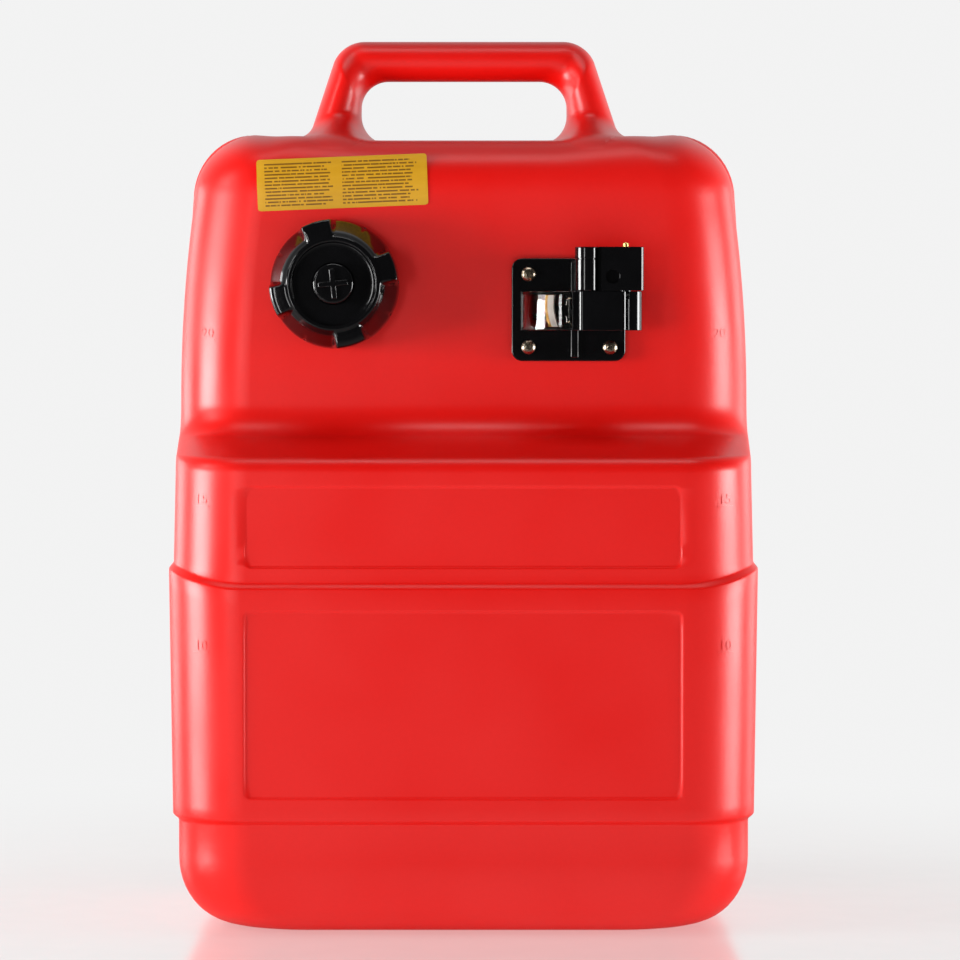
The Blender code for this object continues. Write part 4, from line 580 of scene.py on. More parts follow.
def label_place(u, v, lift):
    """A place on the label, lifted off the face along its outward direction."""
    flat = label_turn @ Vector(((u - 0.5) * LABEL_SIZE[0], (v - 0.5) * LABEL_SIZE[1], 0))
    x, z = -0.0694 + flat.x, 0.4258 + flat.y
    y = face_depth(x, z)
    across = (face_depth(x + 0.0003, z) - y) / 0.0003
    up = (face_depth(x, z + 0.0003) - y) / 0.0003
    return Vector((x, y, z)) + Vector((across, -1, up)).normalized() * lift


shape = bmesh.new()
bmesh.ops.create_grid(shape, x_segments=60, y_segments=20, size=0.5)
uv = shape.loops.layers.uv.new("film")
for face in shape.faces:
    for corner in face.loops:
        corner[uv].uv = (corner.vert.co.x + 0.5, corner.vert.co.y + 0.5)
grown = bmesh.ops.extrude_face_region(shape, geom=shape.faces[:])
lifted = {item for item in grown["geom"] if isinstance(item, bmesh.types.BMVert)}
for vert in shape.verts:
    across, up = vert.co.x, vert.co.y
    past = Vector((max(0, abs(across) * LABEL_SIZE[0] - LABEL_SIZE[0] / 2 + 0.0015),
                   max(0, abs(up) * LABEL_SIZE[1] - LABEL_SIZE[1] / 2 + 0.0015)))
    if past.length > 0.0015:
        past_in = past * (1 - 0.0015 / past.length)
        across -= math.copysign(past_in.x / LABEL_SIZE[0], across)
        up -= math.copysign(past_in.y / LABEL_SIZE[1], up)
    vert.co = label_place(across + 0.5, up + 0.5, 0.0005 if vert in lifted else 0.0002)
bmesh.ops.recalc_face_normals(shape, faces=shape.faces)
label = new_piece("label_film", shape)

# Printed vinyl film: deep yellow, satin, with brown ruled lines broken up as lines of small print are,
# and slight scuffing.
film = bpy.data.materials.new("printed_vinyl_film")
film.use_nodes = True
tree = film.node_tree
shader = tree.nodes["Principled BSDF"]
place = add_node(tree, "ShaderNodeUVMap", uv_map="film")
parts_uv = add_node(tree, "ShaderNodeSeparateXYZ", {"Vector": place.outputs["UV"]})
across, up = parts_uv.outputs["X"], parts_uv.outputs["Y"]


def calc(operation, first, second=None):
    node = add_node(tree, "ShaderNodeMath", {0: first}, operation=operation)
    if second is not None:
        if isinstance(second, bpy.types.NodeSocket):
            tree.links.new(second, node.inputs[1])
        else:
            node.inputs[1].default_value = second
    return node.outputs[0]


def inside(value, low, high):
    """1 where a value lies between two bounds."""
    return calc("MULTIPLY", calc("GREATER_THAN", value, low), calc("LESS_THAN", value, high))


line = calc("FRACT", calc("MULTIPLY", up, 15.0))
number = calc("FLOOR", calc("MULTIPLY", up, 15.0))
ruled = inside(line, 0.24, 0.70)
row_place = add_node(tree, "ShaderNodeCombineXYZ", {"X": calc("MULTIPLY", across, 62.0), "Y": calc("MULTIPLY", number, 7.3)})
gaps = add_node(tree, "ShaderNodeTexNoise", {"Vector": row_place.outputs[0], "Scale": 1.0, "Detail": 1.0})
broken = calc("GREATER_THAN", gaps.outputs["Fac"], 0.40)
ends = add_node(tree, "ShaderNodeTexWhiteNoise", {"W": number}, noise_dimensions="1D")
first_end = calc("ADD", calc("MULTIPLY", ends.outputs["Value"], 0.06), 0.39)
second_end = calc("ADD", calc("MULTIPLY", ends.outputs["Value"], -0.06), 0.945)
first = inside(across, 0.045, first_end)
second = inside(across, 0.50, second_end)
columns = calc("MAXIMUM", first, second)
margin = inside(up, 0.075, 0.925)
ink = calc("MULTIPLY", calc("MULTIPLY", ruled, broken), calc("MULTIPLY", columns, margin))
scuff = add_node(tree, "ShaderNodeTexNoise", {"Vector": place.outputs["UV"], "Scale": 9.0, "Detail": 5.0})
paper = add_node(tree, "ShaderNodeMix", {
    "Factor": scuff.outputs["Fac"], "A": linear("#CF9510"), "B": linear("#DDA61E")}, data_type="RGBA")
weight = calc("MULTIPLY", ink, 0.85)
print_mix = add_node(tree, "ShaderNodeMix", {
    "Factor": weight, "A": paper.outputs["Result"], "B": linear("#6A4208")}, data_type="RGBA")
tree.links.new(print_mix.outputs["Result"], shader.inputs["Base Color"])
shine = add_node(tree, "ShaderNodeMapRange", {"Value": scuff.outputs["Fac"], "To Min": 0.34, "To Max": 0.52})
tree.links.new(shine.outputs["Result"], shader.inputs["Roughness"])
crinkle = add_node(tree, "ShaderNodeBump", {"Height": scuff.outputs["Fac"], "Strength": 0.25, "Distance": 0.0003})
tree.links.new(crinkle.outputs["Normal"], shader.inputs["Normal"])
label.data.materials.append(film)
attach(label, "tank")
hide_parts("label")

# Screw cap: black moulded cap with four grip lobes on a tapered, notched skirt, and a raised rim
# round the vent screw. It has an inner thread and screws onto the neck.
LOBE_TURN = 16.5


def cap_rows():
    """Rows of places round the cap, blended between the plain skirt and the lobes."""
    skirt = [(0.0044, 0.0265), (0.0116, 0.0265), (0.0119, 0.0268), (0.0119, 0.0298), (0.0121, 0.0300),
             (0.0160, 0.0300), (0.0200, 0.0300), (0.0225, 0.0300), (0.0231, 0.0302), (0.0234, 0.0308),
             (0.0237, 0.0314), (0.0241, 0.0317), (0.0247, 0.0318), (0.0256, 0.0318), (0.0262, 0.0317),
             (0.0267, 0.0313), (0.0271, 0.0307), (0.0277, 0.0300), (0.0286, 0.0291), (0.0293, 0.0281),
             (0.0302, 0.0264), (0.0314, 0.0238), (0.0326, 0.0212), (0.0338, 0.0186), (0.0350, 0.0160),
             (0.0358, 0.0142), (0.0363, 0.0122), (0.0366, 0.0090), (0.0368, 0.0050), (0.0369, 0.0030),
             (0.0369, 0.0024), (0.0366, 0.0021), (0.0362, 0.0020), (0.0324, 0.0020), (0.0321, 0.0021),
             (0.0320, 0.0024), (0.0320, 0.0190), (0.0302, 0.0233), (0.0044, 0.0233), (0.0044, 0.0265)]
    lobe = list(skirt)
    lobe[15:31] = [(0.0266, 0.0315), (0.0271, 0.0313), (0.0280, 0.0312), (0.0291, 0.0312), (0.0304, 0.0311),
                   (0.0320, 0.0310), (0.0335, 0.0309), (0.0347, 0.0307), (0.0356, 0.0303), (0.0362, 0.0297),
                   (0.0365, 0.0288), (0.0367, 0.0240), (0.0368, 0.0140), (0.0369, 0.0060), (0.0369, 0.0030),
                   (0.0369, 0.0024)]
    rows = []
    for plain, raised in zip(skirt, lobe):
        row = []
        for step in range(361):
            turn = step - LOBE_TURN
            off = abs((turn + 45) % 90 - 45)
            share = 1 - ease((off - 12.5) / 6.5)
            radius, height = (mix(a, b, share) for a, b in zip(plain, raised))
            notch = abs(turn % 30 - 15)
            if 0.0021 < height < 0.0175 and plain[0] > 0.0321:
                radius -= 0.0008 * max(0, 1 - (notch / 1.8) ** 2)
            angle = math.radians(step)
            row.append(Vector((radius * math.cos(angle), radius * math.sin(angle), height)))
        rows.append(row)
    return rows


shape = bmesh.new()
close_grid(shape, cap_rows())
bmesh.ops.recalc_face_normals(shape, faces=shape.faces)
ridge = bmesh.new()
thread(ridge, 0.0325, 0.0299, 0.0090, 1.5)
ridge_data = bpy.data.meshes.new("thread")
ridge.to_mesh(ridge_data)
ridge.free()
shape.from_mesh(ridge_data)
bpy.data.meshes.remove(ridge_data)
bmesh.ops.transform(shape, matrix=neck_place, verts=shape.verts)
cap = new_piece("screw_cap", shape)

# Black acetal moulding: deep gloss from the polished mould, with faint flow marks and fine dust
# and hairline rubs that soften the gloss in places.
acetal = bpy.data.materials.new("gloss_acetal")
acetal.use_nodes = True
tree = acetal.node_tree
shader = tree.nodes["Principled BSDF"]
place = add_node(tree, "ShaderNodeTexCoord")
flow = add_node(tree, "ShaderNodeTexNoise", {"Vector": place.outputs["Object"], "Scale": 90.0, "Detail": 3.0})
rubs = add_node(tree, "ShaderNodeTexNoise", {"Vector": place.outputs["Object"], "Scale": 700.0, "Detail": 2.0})
black = add_node(tree, "ShaderNodeMix", {
    "Factor": flow.outputs["Fac"], "A": linear("#080809"), "B": linear("#101012")}, data_type="RGBA")
polish = add_node(tree, "ShaderNodeMapRange", {
    "Value": rubs.outputs["Fac"], "From Min": 0.3, "From Max": 0.8, "To Min": 0.06, "To Max": 0.16})
sink_marks = add_node(tree, "ShaderNodeBump", {"Height": flow.outputs["Fac"], "Strength": 0.12, "Distance": 0.0003})
tree.links.new(black.outputs["Result"], shader.inputs["Base Color"])
tree.links.new(polish.outputs["Result"], shader.inputs["Roughness"])
tree.links.new(sink_marks.outputs["Normal"], shader.inputs["Normal"])
cap.data.materials.append(acetal)
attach(cap, "cap")
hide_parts("filler_cap")


# Vent screw: a round black knob in the middle of the cap, with a raised cross for the fingers.
# It is loosened when the engine draws fuel.
shape = bmesh.new()
turned(shape, [(0, 0.0353), (0.0100, 0.0353), (0.0107, 0.0351), (0.0112, 0.0347), (0.0115, 0.0341),
               (0.0115, 0.0297), (0.0112, 0.0291), (0.0040, 0.0291), (0.0040, 0.0196), (0.0036, 0.0191),
               (0, 0.0191)], 96, closed=False)
bmesh.ops.transform(shape, matrix=neck_place, verts=shape.verts)
knob = new_piece("vent_screw", shape)


def block(mesh, low, high, edge, steps=3):
    """A box with every edge rounded."""
    low, high = Vector(low), Vector(high)
    made = bmesh.ops.create_cube(mesh, size=1, matrix=Matrix.Translation((low + high) / 2) @ Matrix.Diagonal(
        (*(high - low), 1)))
    edges = list({line for vert in made["verts"] for line in vert.link_edges})
    bmesh.ops.bevel(mesh, geom=edges, offset=edge, segments=steps, profile=0.5, affect="EDGES", material=-1)


for quarter in (0, 90):
    shape = bmesh.new()
    block(shape, (-0.0085, -0.0015, 0.0330), (0.0085, 0.0015, 0.0365), 0.0006)
    bmesh.ops.transform(shape, verts=shape.verts,
                        matrix=neck_place @ Matrix.Rotation(math.radians(6 + quarter), 4, "Z"))
    carved(knob, new_piece("cross_bar", shape), "UNION")
knob.data.materials.clear()
knob.data.materials.append(acetal)
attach(knob, "vent")
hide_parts("vent_knob")


# Gauge fitting: a black moulded plate screwed to the upper face over a gasket, with a step across it,
# a tall housing for the fuel's way and cheeks that hold the sight lens over a window to the float.
gauge_place = Matrix.Translation((0.0600, DECK_Y, 0.3530)) @ Matrix.Rotation(math.radians(90), 4, "X")
SCREW_PLACES = [(0.00045 + side * 0.02335, -0.0006 + level * 0.02085) for side in (-1, 1) for level in (-1, 1)]


def round_bar(mesh, start, end, radius, steps=48, end_radius=None):
    """A cylinder or cone between two places."""
    start, end = Vector(start), Vector(end)
    turn = (end - start).to_track_quat("Z", "Y").to_matrix().to_4x4()
    return bmesh.ops.create_cone(mesh, cap_ends=True, segments=steps, radius1=radius,
                                 radius2=radius if end_radius is None else end_radius,
                                 depth=(end - start).length, matrix=Matrix.Translation((start + end) / 2) @ turn)


def fit(name, mesh):
    """A tool piece in the frame of the gauge."""
    bmesh.ops.transform(mesh, matrix=gauge_place, verts=mesh.verts)
    return new_piece(name, mesh)


def soften(mesh, edges, offset, steps=3):
    bmesh.ops.bevel(mesh, geom=edges, offset=offset, segments=steps, profile=0.5, affect="EDGES", material=-1)


def rounded_plate(mesh, width, height, low, high, radius, edge):
    """A flat plate with round corners and a softened upper edge."""
    made = bmesh.ops.create_cube(mesh, size=1, matrix=Matrix.Translation((0, 0, (low + high) / 2)) @
                                 Matrix.Diagonal((width, height, high - low, 1)))
    upright = [line for line in mesh.edges if abs(line.verts[0].co.z - line.verts[1].co.z) > 0.0001]
    soften(mesh, upright, radius, 10)
    upper = [line for line in mesh.edges if min(vert.co.z for vert in line.verts) > high - 0.00001]
    soften(mesh, upper, edge, 3)


shape = bmesh.new()
rounded_plate(shape, 0.0650, 0.0587, 0.0018, 0.0048, 0.0060, 0.0007)
fitting = fit("gauge_fitting", shape)
shape = bmesh.new()
block(shape, (0.0013, -0.02735, 0.0020), (0.0056, 0.02735, 0.0070), 0.0006)
carved(fitting, fit("step_rib", shape), "UNION")
shape = bmesh.new()
block(shape, (0.0013, -0.0118, 0.0021), (0.0060, 0.0104, 0.0305), 0.0006)
carved(fitting, fit("bulkhead", shape), "UNION")
shape = bmesh.new()
made = bmesh.ops.create_cube(shape, size=1, matrix=Matrix.Translation((0.01865, -0.0007, 0.0181)) @ Matrix.Diagonal(
    (0.0271, 0.0222, 0.0318, 1)))
corner_edges = [line for line in shape.edges if all(vert.co.z > 0.03 for vert in line.verts)
                and abs(line.verts[0].co.x - line.verts[1].co.x) < 0.00001]
soften(shape, corner_edges, 0.0025, 6)
ends = [line for line in shape.edges if len({round(vert.co.y, 5) for vert in line.verts}) == 1
        and min(vert.co.z for vert in line.verts) > 0.003]
soften(shape, ends, 0.0004, 2)
carved(fitting, fit("housing", shape), "UNION")
shape = bmesh.new()
made = round_bar(shape, (0.0350, -0.0118, 0.0262), (0.0350, 0.0104, 0.0262), 0.0062, 72)
soften(shape, [line for line in shape.edges if abs(line.verts[0].co.y - line.verts[1].co.y) < 0.00001], 0.0004, 2)
carved(fitting, fit("housing_end", shape), "UNION")
shape = bmesh.new()
round_bar(shape, (0.0140, 0.0055, -0.0120), (0.0140, 0.0055, 0.0040), 0.0030, 32)
carved(fitting, fit("spigot", shape), "UNION")
shape = bmesh.new()
round_bar(shape, (0.0010, -0.0098, 0.0033), (0.0010, 0.0084, 0.0033), 0.0262, 128)
cut = bmesh.ops.bisect_plane(shape, geom=shape.verts[:] + shape.edges[:] + shape.faces[:], plane_co=(0.0050, 0, 0),
                             plane_no=(1, 0, 0), clear_outer=True)
bmesh.ops.edgenet_fill(shape, edges=[item for item in cut["geom_cut"] if isinstance(item, bmesh.types.BMEdge)])
carved(fitting, fit("pointer_room", shape), "DIFFERENCE")
shape = bmesh.new()
block(shape, (-0.0040, -0.0063, -0.0100), (0.0095, 0.0001, 0.0043), 0.0003, 1)
carved(fitting, fit("socket_relief", shape), "DIFFERENCE")
for side in (-1, 1):
    shape = bmesh.new()
    block(shape, (-0.0026, min(side * 0.0063, side * 0.0094) - 0.0007, -0.0003),
          (0.0068, max(side * 0.0063, side * 0.0094) - 0.0007, 0.0069), 0.0004, 2)
    carved(fitting, fit("ear", shape), "UNION")
shape = bmesh.new()
round_bar(shape, (0.0010, -0.0098, 0.0033), (0.0010, 0.0084, 0.0033), 0.0019, 24)
carved(fitting, fit("shaft_holes", shape), "DIFFERENCE")
shape = bmesh.new()
round_bar(shape, (0.0319, 0.0059, 0.0275), (0.0319, 0.0150, 0.0275), 0.0051, 32)
round_bar(shape, (0.0140, 0.0055, -0.0150), (0.0140, 0.0055, 0.0200), 0.0017, 24)
for x, y in SCREW_PLACES:
    round_bar(shape, (x, y, -0.0100), (x, y, 0.0200 if (x > 0) != (y > 0) or x < 0 else 0.0100), 0.0022, 24)
carved(fitting, fit("bores", shape), "DIFFERENCE")
fitting.data.materials.clear()
fitting.data.materials.append(acetal)
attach(fitting, "tank")
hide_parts("gauge_flange")


# Flange screws: four pan-head screws with cross recesses, steel, plated and yellowed by fuel and salt.
# They hold the fitting down through its gasket.
plated = bpy.data.materials.new("plated_screw_steel")
plated.use_nodes = True
tree = plated.node_tree
shader = tree.nodes["Principled BSDF"]
shader.inputs["Metallic"].default_value = 1.0
place = add_node(tree, "ShaderNodeTexCoord")
stain = add_node(tree, "ShaderNodeTexNoise", {"Vector": place.outputs["Object"], "Scale": 620.0, "Detail": 3.0})
metal = add_node(tree, "ShaderNodeMix", {
    "Factor": stain.outputs["Fac"], "A": linear("#C9BEAB"), "B": linear("#75624A")}, data_type="RGBA")
rough = add_node(tree, "ShaderNodeMapRange", {"Value": stain.outputs["Fac"], "To Min": 0.16, "To Max": 0.38})
pits = add_node(tree, "ShaderNodeBump", {"Height": stain.outputs["Fac"], "Strength": 0.15, "Distance": 0.0001})
tree.links.new(metal.outputs["Result"], shader.inputs["Base Color"])
tree.links.new(rough.outputs["Result"], shader.inputs["Roughness"])
tree.links.new(pits.outputs["Normal"], shader.inputs["Normal"])
for index, (x, y) in enumerate(SCREW_PLACES):
    shape = bmesh.new()
    turned(shape, [(0, 0.0075), (0.0012, 0.00745), (0.0022, 0.0072), (0.0031, 0.0067), (0.0037, 0.0061),
                   (0.0041, 0.0056), (0.0042, 0.0052), (0.0041, 0.0051), (0.0019, 0.0051), (0.0019, -0.0060),
                   (0.0004, -0.0072), (0, -0.0072)], 48, closed=False)
    bmesh.ops.transform(shape, matrix=gauge_place @ Matrix.Translation((x, y, 0)), verts=shape.verts)
    screw = new_piece(f"pan_screw_{index + 1}", shape)
    for quarter in (0, 90):
        shape = bmesh.new()
        bmesh.ops.create_cube(shape, size=1, matrix=Matrix.Diagonal((0.0050, 0.0013, 0.0050, 1)))
        for vert in shape.verts:
            if vert.co.z < 0:
                vert.co.x *= 0.45
        turn = Matrix.Rotation(math.radians((20, 65, 40, 10)[index] + quarter), 4, "Z")
        bmesh.ops.transform(shape, matrix=Matrix.Translation((x, y, 0.0081)) @ turn, verts=shape.verts)
        carved(screw, fit("recess", shape), "DIFFERENCE")
    screw.data.materials.clear()
    screw.data.materials.append(plated)
    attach(screw, "tank")
    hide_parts(f"flange_screw_{index + 1}")


# Sight lens: a clear acrylic half barrel, hollow underneath, held between the cheeks of the fitting.
# Its thick ends are polished, so that they catch red from the tank.
def half_barrel(radius, half_length, floor, wall_x, steps):
    mesh = bmesh.new()
    round_bar(mesh, (0.0010, -0.0007 - half_length, 0.0033), (0.0010, -0.0007 + half_length, 0.0033), radius, steps)
    for point, normal in (((wall_x, 0, 0), (1, 0, 0)), ((0, 0, floor), (0, 0, -1))):
        cut = bmesh.ops.bisect_plane(mesh, geom=mesh.verts[:] + mesh.edges[:] + mesh.faces[:], plane_co=point,
                                     plane_no=normal, clear_outer=True)
        bmesh.ops.edgenet_fill(mesh, edges=[item for item in cut["geom_cut"] if isinstance(item, bmesh.types.BMEdge)])
    return mesh


shape = half_barrel(0.0285, 0.0111, 0.0060, 0.0010, 160)
rims = [line for line in shape.edges if line.calc_face_angle(0) > math.radians(60)
        and abs(line.verts[0].co.y - line.verts[1].co.y) < 0.00001 and line.verts[0].co.x < 0.0009]
soften(shape, rims, 0.0007, 4)
lens = fit("acrylic_lens", shape)
carved(lens, fit("lens_hollow", half_barrel(0.0265, 0.0091, 0.0040, 0.0110, 128)), "DIFFERENCE")

# Cast acrylic: clear and polished, with the faint ripple of a moulded lens.
acrylic = bpy.data.materials.new("clear_acrylic")
acrylic.use_nodes = True
tree = acrylic.node_tree
shader = tree.nodes["Principled BSDF"]
shader.inputs["Base Color"].default_value = linear("#F6F3F1")
shader.inputs["Transmission Weight"].default_value = 1.0
shader.inputs["IOR"].default_value = 1.49
place = add_node(tree, "ShaderNodeTexCoord")
ripple = add_node(tree, "ShaderNodeTexNoise", {"Vector": place.outputs["Object"], "Scale": 160.0})
clear = add_node(tree, "ShaderNodeMapRange", {"Value": ripple.outputs["Fac"], "To Min": 0.015, "To Max": 0.05})
warp = add_node(tree, "ShaderNodeBump", {"Height": ripple.outputs["Fac"], "Strength": 0.10, "Distance": 0.0002})
tree.links.new(clear.outputs["Result"], shader.inputs["Roughness"])
tree.links.new(warp.outputs["Normal"], shader.inputs["Normal"])
lens.data.materials.clear()
lens.data.materials.append(acrylic)
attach(lens, "tank")
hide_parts("sight_lens")


# Level pointer: a black moulding on the shaft of the float arm, one piece with its spoke, its hub and
# the socket for the arm. Its curved flag is painted white, with yellow at the low side.
pointer_place = gauge_place @ Matrix.Translation((0.0010, -0.0007, 0.0033)) @ Matrix.Rotation(math.radians(-90), 4, "X")
shape = bmesh.new()
bmesh.ops.create_grid(shape, x_segments=18, y_segments=12, size=0.5)
bmesh.ops.solidify(shape, geom=shape.faces[:], thickness=0.0016)
top = max(vert.co.z for vert in shape.verts)
for vert in shape.verts:
    outer = vert.co.z > top - 0.0001
    turn = math.radians(-90 - 30.0 - 15 * vert.co.x - 6 * vert.co.y - 3 * (1 - (2 * vert.co.y) ** 2))
    bow = 0.0004 * (1 - (2 * vert.co.y) ** 2)
    radius = (0.0222 if outer else 0.0206) - 0.0004 + bow
    vert.co = (radius * math.cos(turn), radius * math.sin(turn), vert.co.y * 0.0172)
bmesh.ops.recalc_face_normals(shape, faces=shape.faces)
bmesh.ops.transform(shape, matrix=pointer_place, verts=shape.verts)
pointer = new_piece("pointer_flag", shape)
aim = Matrix.Rotation(math.radians(-90 - 32.0), 4, "Z")
shape = bmesh.new()
block(shape, (0, -0.0008, -0.0031), (0.0213, 0.0008, 0.0031), 0.0002, 2)
bmesh.ops.transform(shape, matrix=pointer_place @ aim, verts=shape.verts)
carved(pointer, new_piece("spoke", shape), "UNION")
shape = bmesh.new()
round_bar(shape, (0, 0, -0.0059), (0, 0, 0.0059), 0.0036, 40)
bmesh.ops.transform(shape, matrix=pointer_place, verts=shape.verts)
carved(pointer, new_piece("hub", shape), "UNION")
shape = bmesh.new()
round_bar(shape, (0, 0, -0.0024), (0, 0.0095, -0.0024), 0.0028, 32)
bmesh.ops.transform(shape, matrix=pointer_place, verts=shape.verts)
carved(pointer, new_piece("socket", shape), "UNION")
shape = bmesh.new()
round_bar(shape, (0, 0, -0.0120), (0, 0, 0.0120), 0.0018, 24)
bmesh.ops.transform(shape, matrix=pointer_place, verts=shape.verts)
carved(pointer, new_piece("shaft_bore", shape), "DIFFERENCE")
shape = bmesh.new()
round_bar(shape, (0, 0.0030, -0.0024), (0, 0.0150, -0.0024), 0.0018, 24)
bmesh.ops.transform(shape, matrix=pointer_place, verts=shape.verts)
carved(pointer, new_piece("arm_bore", shape), "DIFFERENCE")


def moulded_flag(name, light, dark):
    """Plain injection-moulded plastic: even colour with faint clouding and a satin skin."""
    finish = bpy.data.materials.new(name)
    finish.use_nodes = True
    tree = finish.node_tree
    shader = tree.nodes["Principled BSDF"]
    place = add_node(tree, "ShaderNodeTexCoord")
    cloud = add_node(tree, "ShaderNodeTexNoise", {"Vector": place.outputs["Object"], "Scale": 240.0, "Detail": 3.0})
    tone = add_node(tree, "ShaderNodeMix", {
        "Factor": cloud.outputs["Fac"], "A": linear(light), "B": linear(dark)}, data_type="RGBA")
    satin = add_node(tree, "ShaderNodeMapRange", {"Value": cloud.outputs["Fac"], "To Min": 0.30, "To Max": 0.45})
    tree.links.new(tone.outputs["Result"], shader.inputs["Base Color"])
    tree.links.new(satin.outputs["Result"], shader.inputs["Roughness"])
    return finish


pointer.data.materials.clear()
pointer.data.materials.append(moulded_flag("white_nylon", "#FFFDF6", "#F2EDE0"))
pointer.data.materials.append(moulded_flag("yellow_nylon", "#F0B434", "#DE9A1E"))
pointer.data.materials.append(acetal)
middle = pointer_place.inverted()
for face in pointer.data.polygons:
    centre = middle @ face.center
    turned_by = -90 - math.degrees(math.atan2(centre.y, centre.x))
    lean = 30.0 + 6 * centre.z / 0.0172 + 3 * (1 - (2 * centre.z / 0.0172) ** 2)
    if math.hypot(centre.x, centre.y) < 0.0205:
        face.material_index = 2
    elif turned_by > lean + 2.5:
        face.material_index = 1
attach(pointer, "gauge")
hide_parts("level_pointer")


# Hose connector: a black moulded body on a sealed spigot above the housing, with a grooved guide post,
# a thick web with a latch recess and a rounded end, and the brass valve inside.
post_place = Matrix.Translation((0.0099, 0, 0.0275)) @ Matrix.Rotation(math.radians(-90), 4, "X")
shape = bmesh.new()
bmesh.ops.create_cube(shape, size=1, matrix=Matrix.Translation((0.02595, 0.0231, 0.0267)) @ Matrix.Diagonal(
    (0.0321, 0.0248, 0.0130, 1)))
soften(shape, [line for line in shape.edges if all(vert.co.x > 0.04 for vert in line.verts)
               and abs(line.verts[0].co.z - line.verts[1].co.z) < 0.00001
               and abs(line.verts[0].co.y - line.verts[1].co.y) > 0.01], 0.0028, 8)
soften(shape, [line for line in shape.edges if line.calc_face_angle(0) > math.radians(60)], 0.0004, 2)
connector = fit("hose_connector", shape)
shape = bmesh.new()
bmesh.ops.create_cube(shape, size=1, matrix=Matrix.Translation((0.0134, 0.0231, 0.0330)) @ Matrix.Diagonal(
    (0.0090, 0.0260, 0.0060, 1)))
carved(connector, fit("step_beside_post", shape), "DIFFERENCE")
shape = bmesh.new()
round_bar(shape, (0.0319, 0.0062, 0.0275), (0.0319, 0.0152, 0.0275), 0.0032, 40)
carved(connector, fit("seat_spigot", shape), "UNION")
for start, end, radius, tip in (
        ((0.0246, 0.0188, 0.0302), (0.0246, 0.0188, 0.0345), 0.0036, 0.0044),
        ((0.0319, -0.0040, 0.0275), (0.0319, 0.0144, 0.0275), 0.0016, None),
        ((0.0319, 0.0141, 0.0275), (0.0319, 0.0301, 0.0275), 0.0040, None),
        ((0.0319, 0.0298, 0.0275), (0.0319, 0.0455, 0.0275), 0.0022, None)):
    shape = bmesh.new()
    round_bar(shape, start, end, radius, 48, tip)
    carved(connector, fit("bore", shape), "DIFFERENCE")
shape = bmesh.new()
turned(shape, [(0, 0.0355), (0.0061, 0.0355), (0.0066, 0.0353), (0.0068, 0.0348), (0.0068, 0.0293),
               (0.0067, 0.0291), (0.0063, 0.0290), (0.0063, 0.0284), (0.0067, 0.0283), (0.0068, 0.0281),
               (0.0068, 0.0111), (0.0065, 0.0107), (0, 0.0107)], 96, closed=False)
bmesh.ops.transform(shape, matrix=gauge_place @ post_place, verts=shape.verts)
bmesh.ops.recalc_face_normals(shape, faces=shape.faces)
shape.from_mesh(connector.data)
shape.to_mesh(connector.data)
shape.free()
connector.data.shade_smooth()
connector.data.set_sharp_from_angle(angle=math.radians(32))
for moulding in (fitting, connector, knob):
    moulding.modifiers.new("even_shading", "WEIGHTED_NORMAL").keep_sharp = True
connector.data.materials.clear()
connector.data.materials.append(acetal)
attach(connector, "tank")
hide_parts("connector_body")


# The working parts inside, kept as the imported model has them: seals, the gauge's shaft, arm and float,
# the pick-up tube with its strainer, and the valve with its spring.
def dress(node, finish):
    """Puts a finish on a carried-over part."""
    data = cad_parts[node].data
    data.materials.clear()
    data.materials.append(finish)


# Nitrile rubber: matt black, a little grey where it is rubbed, with a fine moulded skin.
nitrile = bpy.data.materials.new("nitrile_rubber")
nitrile.use_nodes = True
tree = nitrile.node_tree
shader = tree.nodes["Principled BSDF"]
place = add_node(tree, "ShaderNodeTexCoord")
bloom = add_node(tree, "ShaderNodeTexNoise", {"Vector": place.outputs["Object"], "Scale": 300.0, "Detail": 4.0})
tone = add_node(tree, "ShaderNodeMix", {
    "Factor": bloom.outputs["Fac"], "A": linear("#161616"), "B": linear("#2A2A29")}, data_type="RGBA")
dull = add_node(tree, "ShaderNodeMapRange", {"Value": bloom.outputs["Fac"], "To Min": 0.55, "To Max": 0.80})
skin = add_node(tree, "ShaderNodeBump", {"Height": bloom.outputs["Fac"], "Strength": 0.3, "Distance": 0.0001})
tree.links.new(tone.outputs["Result"], shader.inputs["Base Color"])
tree.links.new(dull.outputs["Result"], shader.inputs["Roughness"])
tree.links.new(skin.outputs["Normal"], shader.inputs["Normal"])
for node in ("cap_gasket", "vent_seal", "flange_gasket", "lens_seal", "connector_seal", "valve_seal"):
    dress(node, nitrile)
for node in ("gauge_shaft", "float_arm", "float_clip", "valve_spring"):
    dress(node, plated)

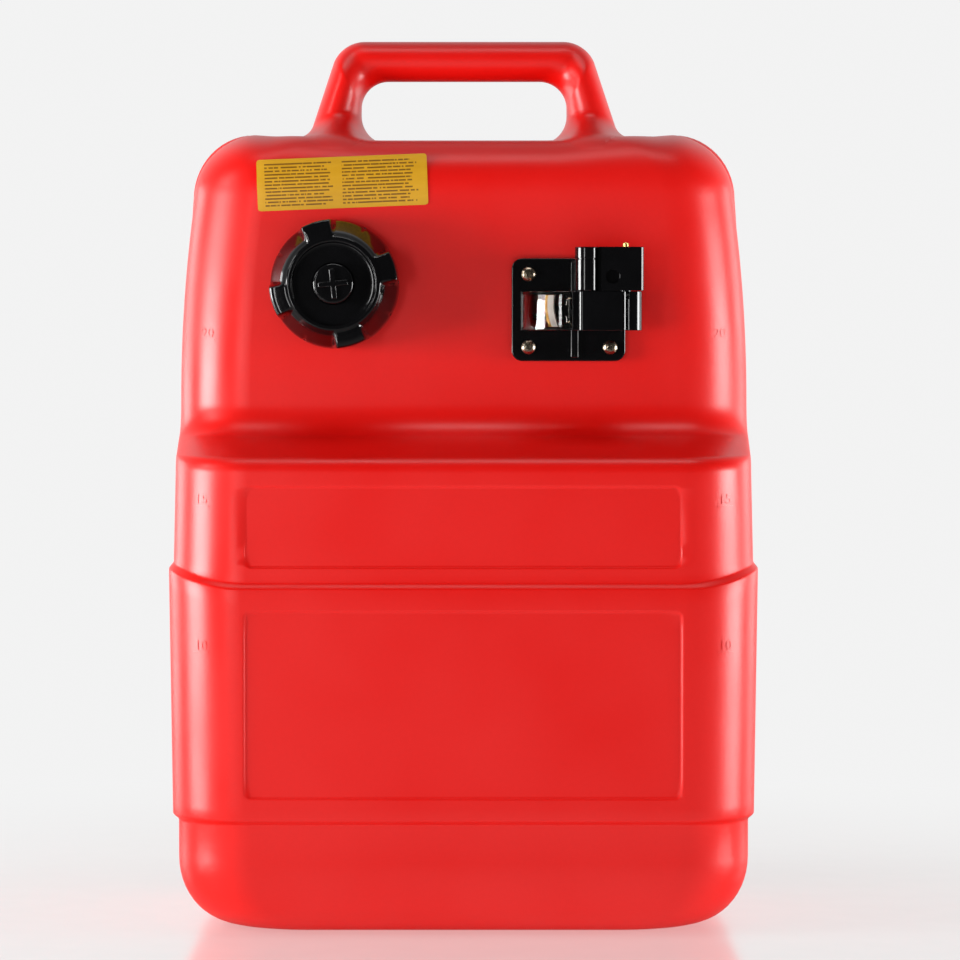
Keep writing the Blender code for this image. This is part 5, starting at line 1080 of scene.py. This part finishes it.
# Free-machining brass: pale yellow with fine turning rings about the part, dulled by handling.
brass = bpy.data.materials.new("turned_brass")
brass.use_nodes = True
tree = brass.node_tree
shader = tree.nodes["Principled BSDF"]
shader.inputs["Metallic"].default_value = 1.0
place = add_node(tree, "ShaderNodeTexCoord")
rings = add_node(tree, "ShaderNodeTexWave", {"Vector": place.outputs["Object"], "Scale": 900.0, "Distortion": 0.4},
                 bands_direction="Z")
tarnish = add_node(tree, "ShaderNodeTexNoise", {"Vector": place.outputs["Object"], "Scale": 350.0, "Detail": 3.0})
metal = add_node(tree, "ShaderNodeMix", {
    "Factor": tarnish.outputs["Fac"], "A": linear("#D2B574"), "B": linear("#8A6730")}, data_type="RGBA")
rough = add_node(tree, "ShaderNodeMapRange", {"Value": tarnish.outputs["Fac"], "To Min": 0.18, "To Max": 0.36})
lathe = add_node(tree, "ShaderNodeBump", {"Height": rings.outputs["Fac"], "Strength": 0.15, "Distance": 0.00005})
tree.links.new(metal.outputs["Result"], shader.inputs["Base Color"])
tree.links.new(rough.outputs["Result"], shader.inputs["Roughness"])
tree.links.new(lathe.outputs["Normal"], shader.inputs["Normal"])
dress("valve_pin", brass)
dress("pickup_strainer", brass)
dress("pickup_tube", moulded_flag("natural_polyethylene", "#CFCFC4", "#BDBDB1"))

# Closed-cell float rubber: dark brown-black, with skin pores of about half a millimetre.
foam = bpy.data.materials.new("closed_cell_foam")
foam.use_nodes = True
tree = foam.node_tree
shader = tree.nodes["Principled BSDF"]
place = add_node(tree, "ShaderNodeTexCoord")
pores = add_node(tree, "ShaderNodeTexVoronoi", {"Vector": place.outputs["Object"], "Scale": 1600.0})
tone = add_node(tree, "ShaderNodeMix", {
    "Factor": pores.outputs["Distance"], "A": linear("#2B241F"), "B": linear("#4A4038")}, data_type="RGBA")
dull = add_node(tree, "ShaderNodeMapRange", {"Value": pores.outputs["Distance"], "To Min": 0.70, "To Max": 0.90})
cells = add_node(tree, "ShaderNodeBump", {"Height": pores.outputs["Distance"], "Strength": 0.4, "Distance": 0.0002})
tree.links.new(tone.outputs["Result"], shader.inputs["Base Color"])
tree.links.new(dull.outputs["Result"], shader.inputs["Roughness"])
tree.links.new(cells.outputs["Normal"], shader.inputs["Normal"])
dress("float", foam)
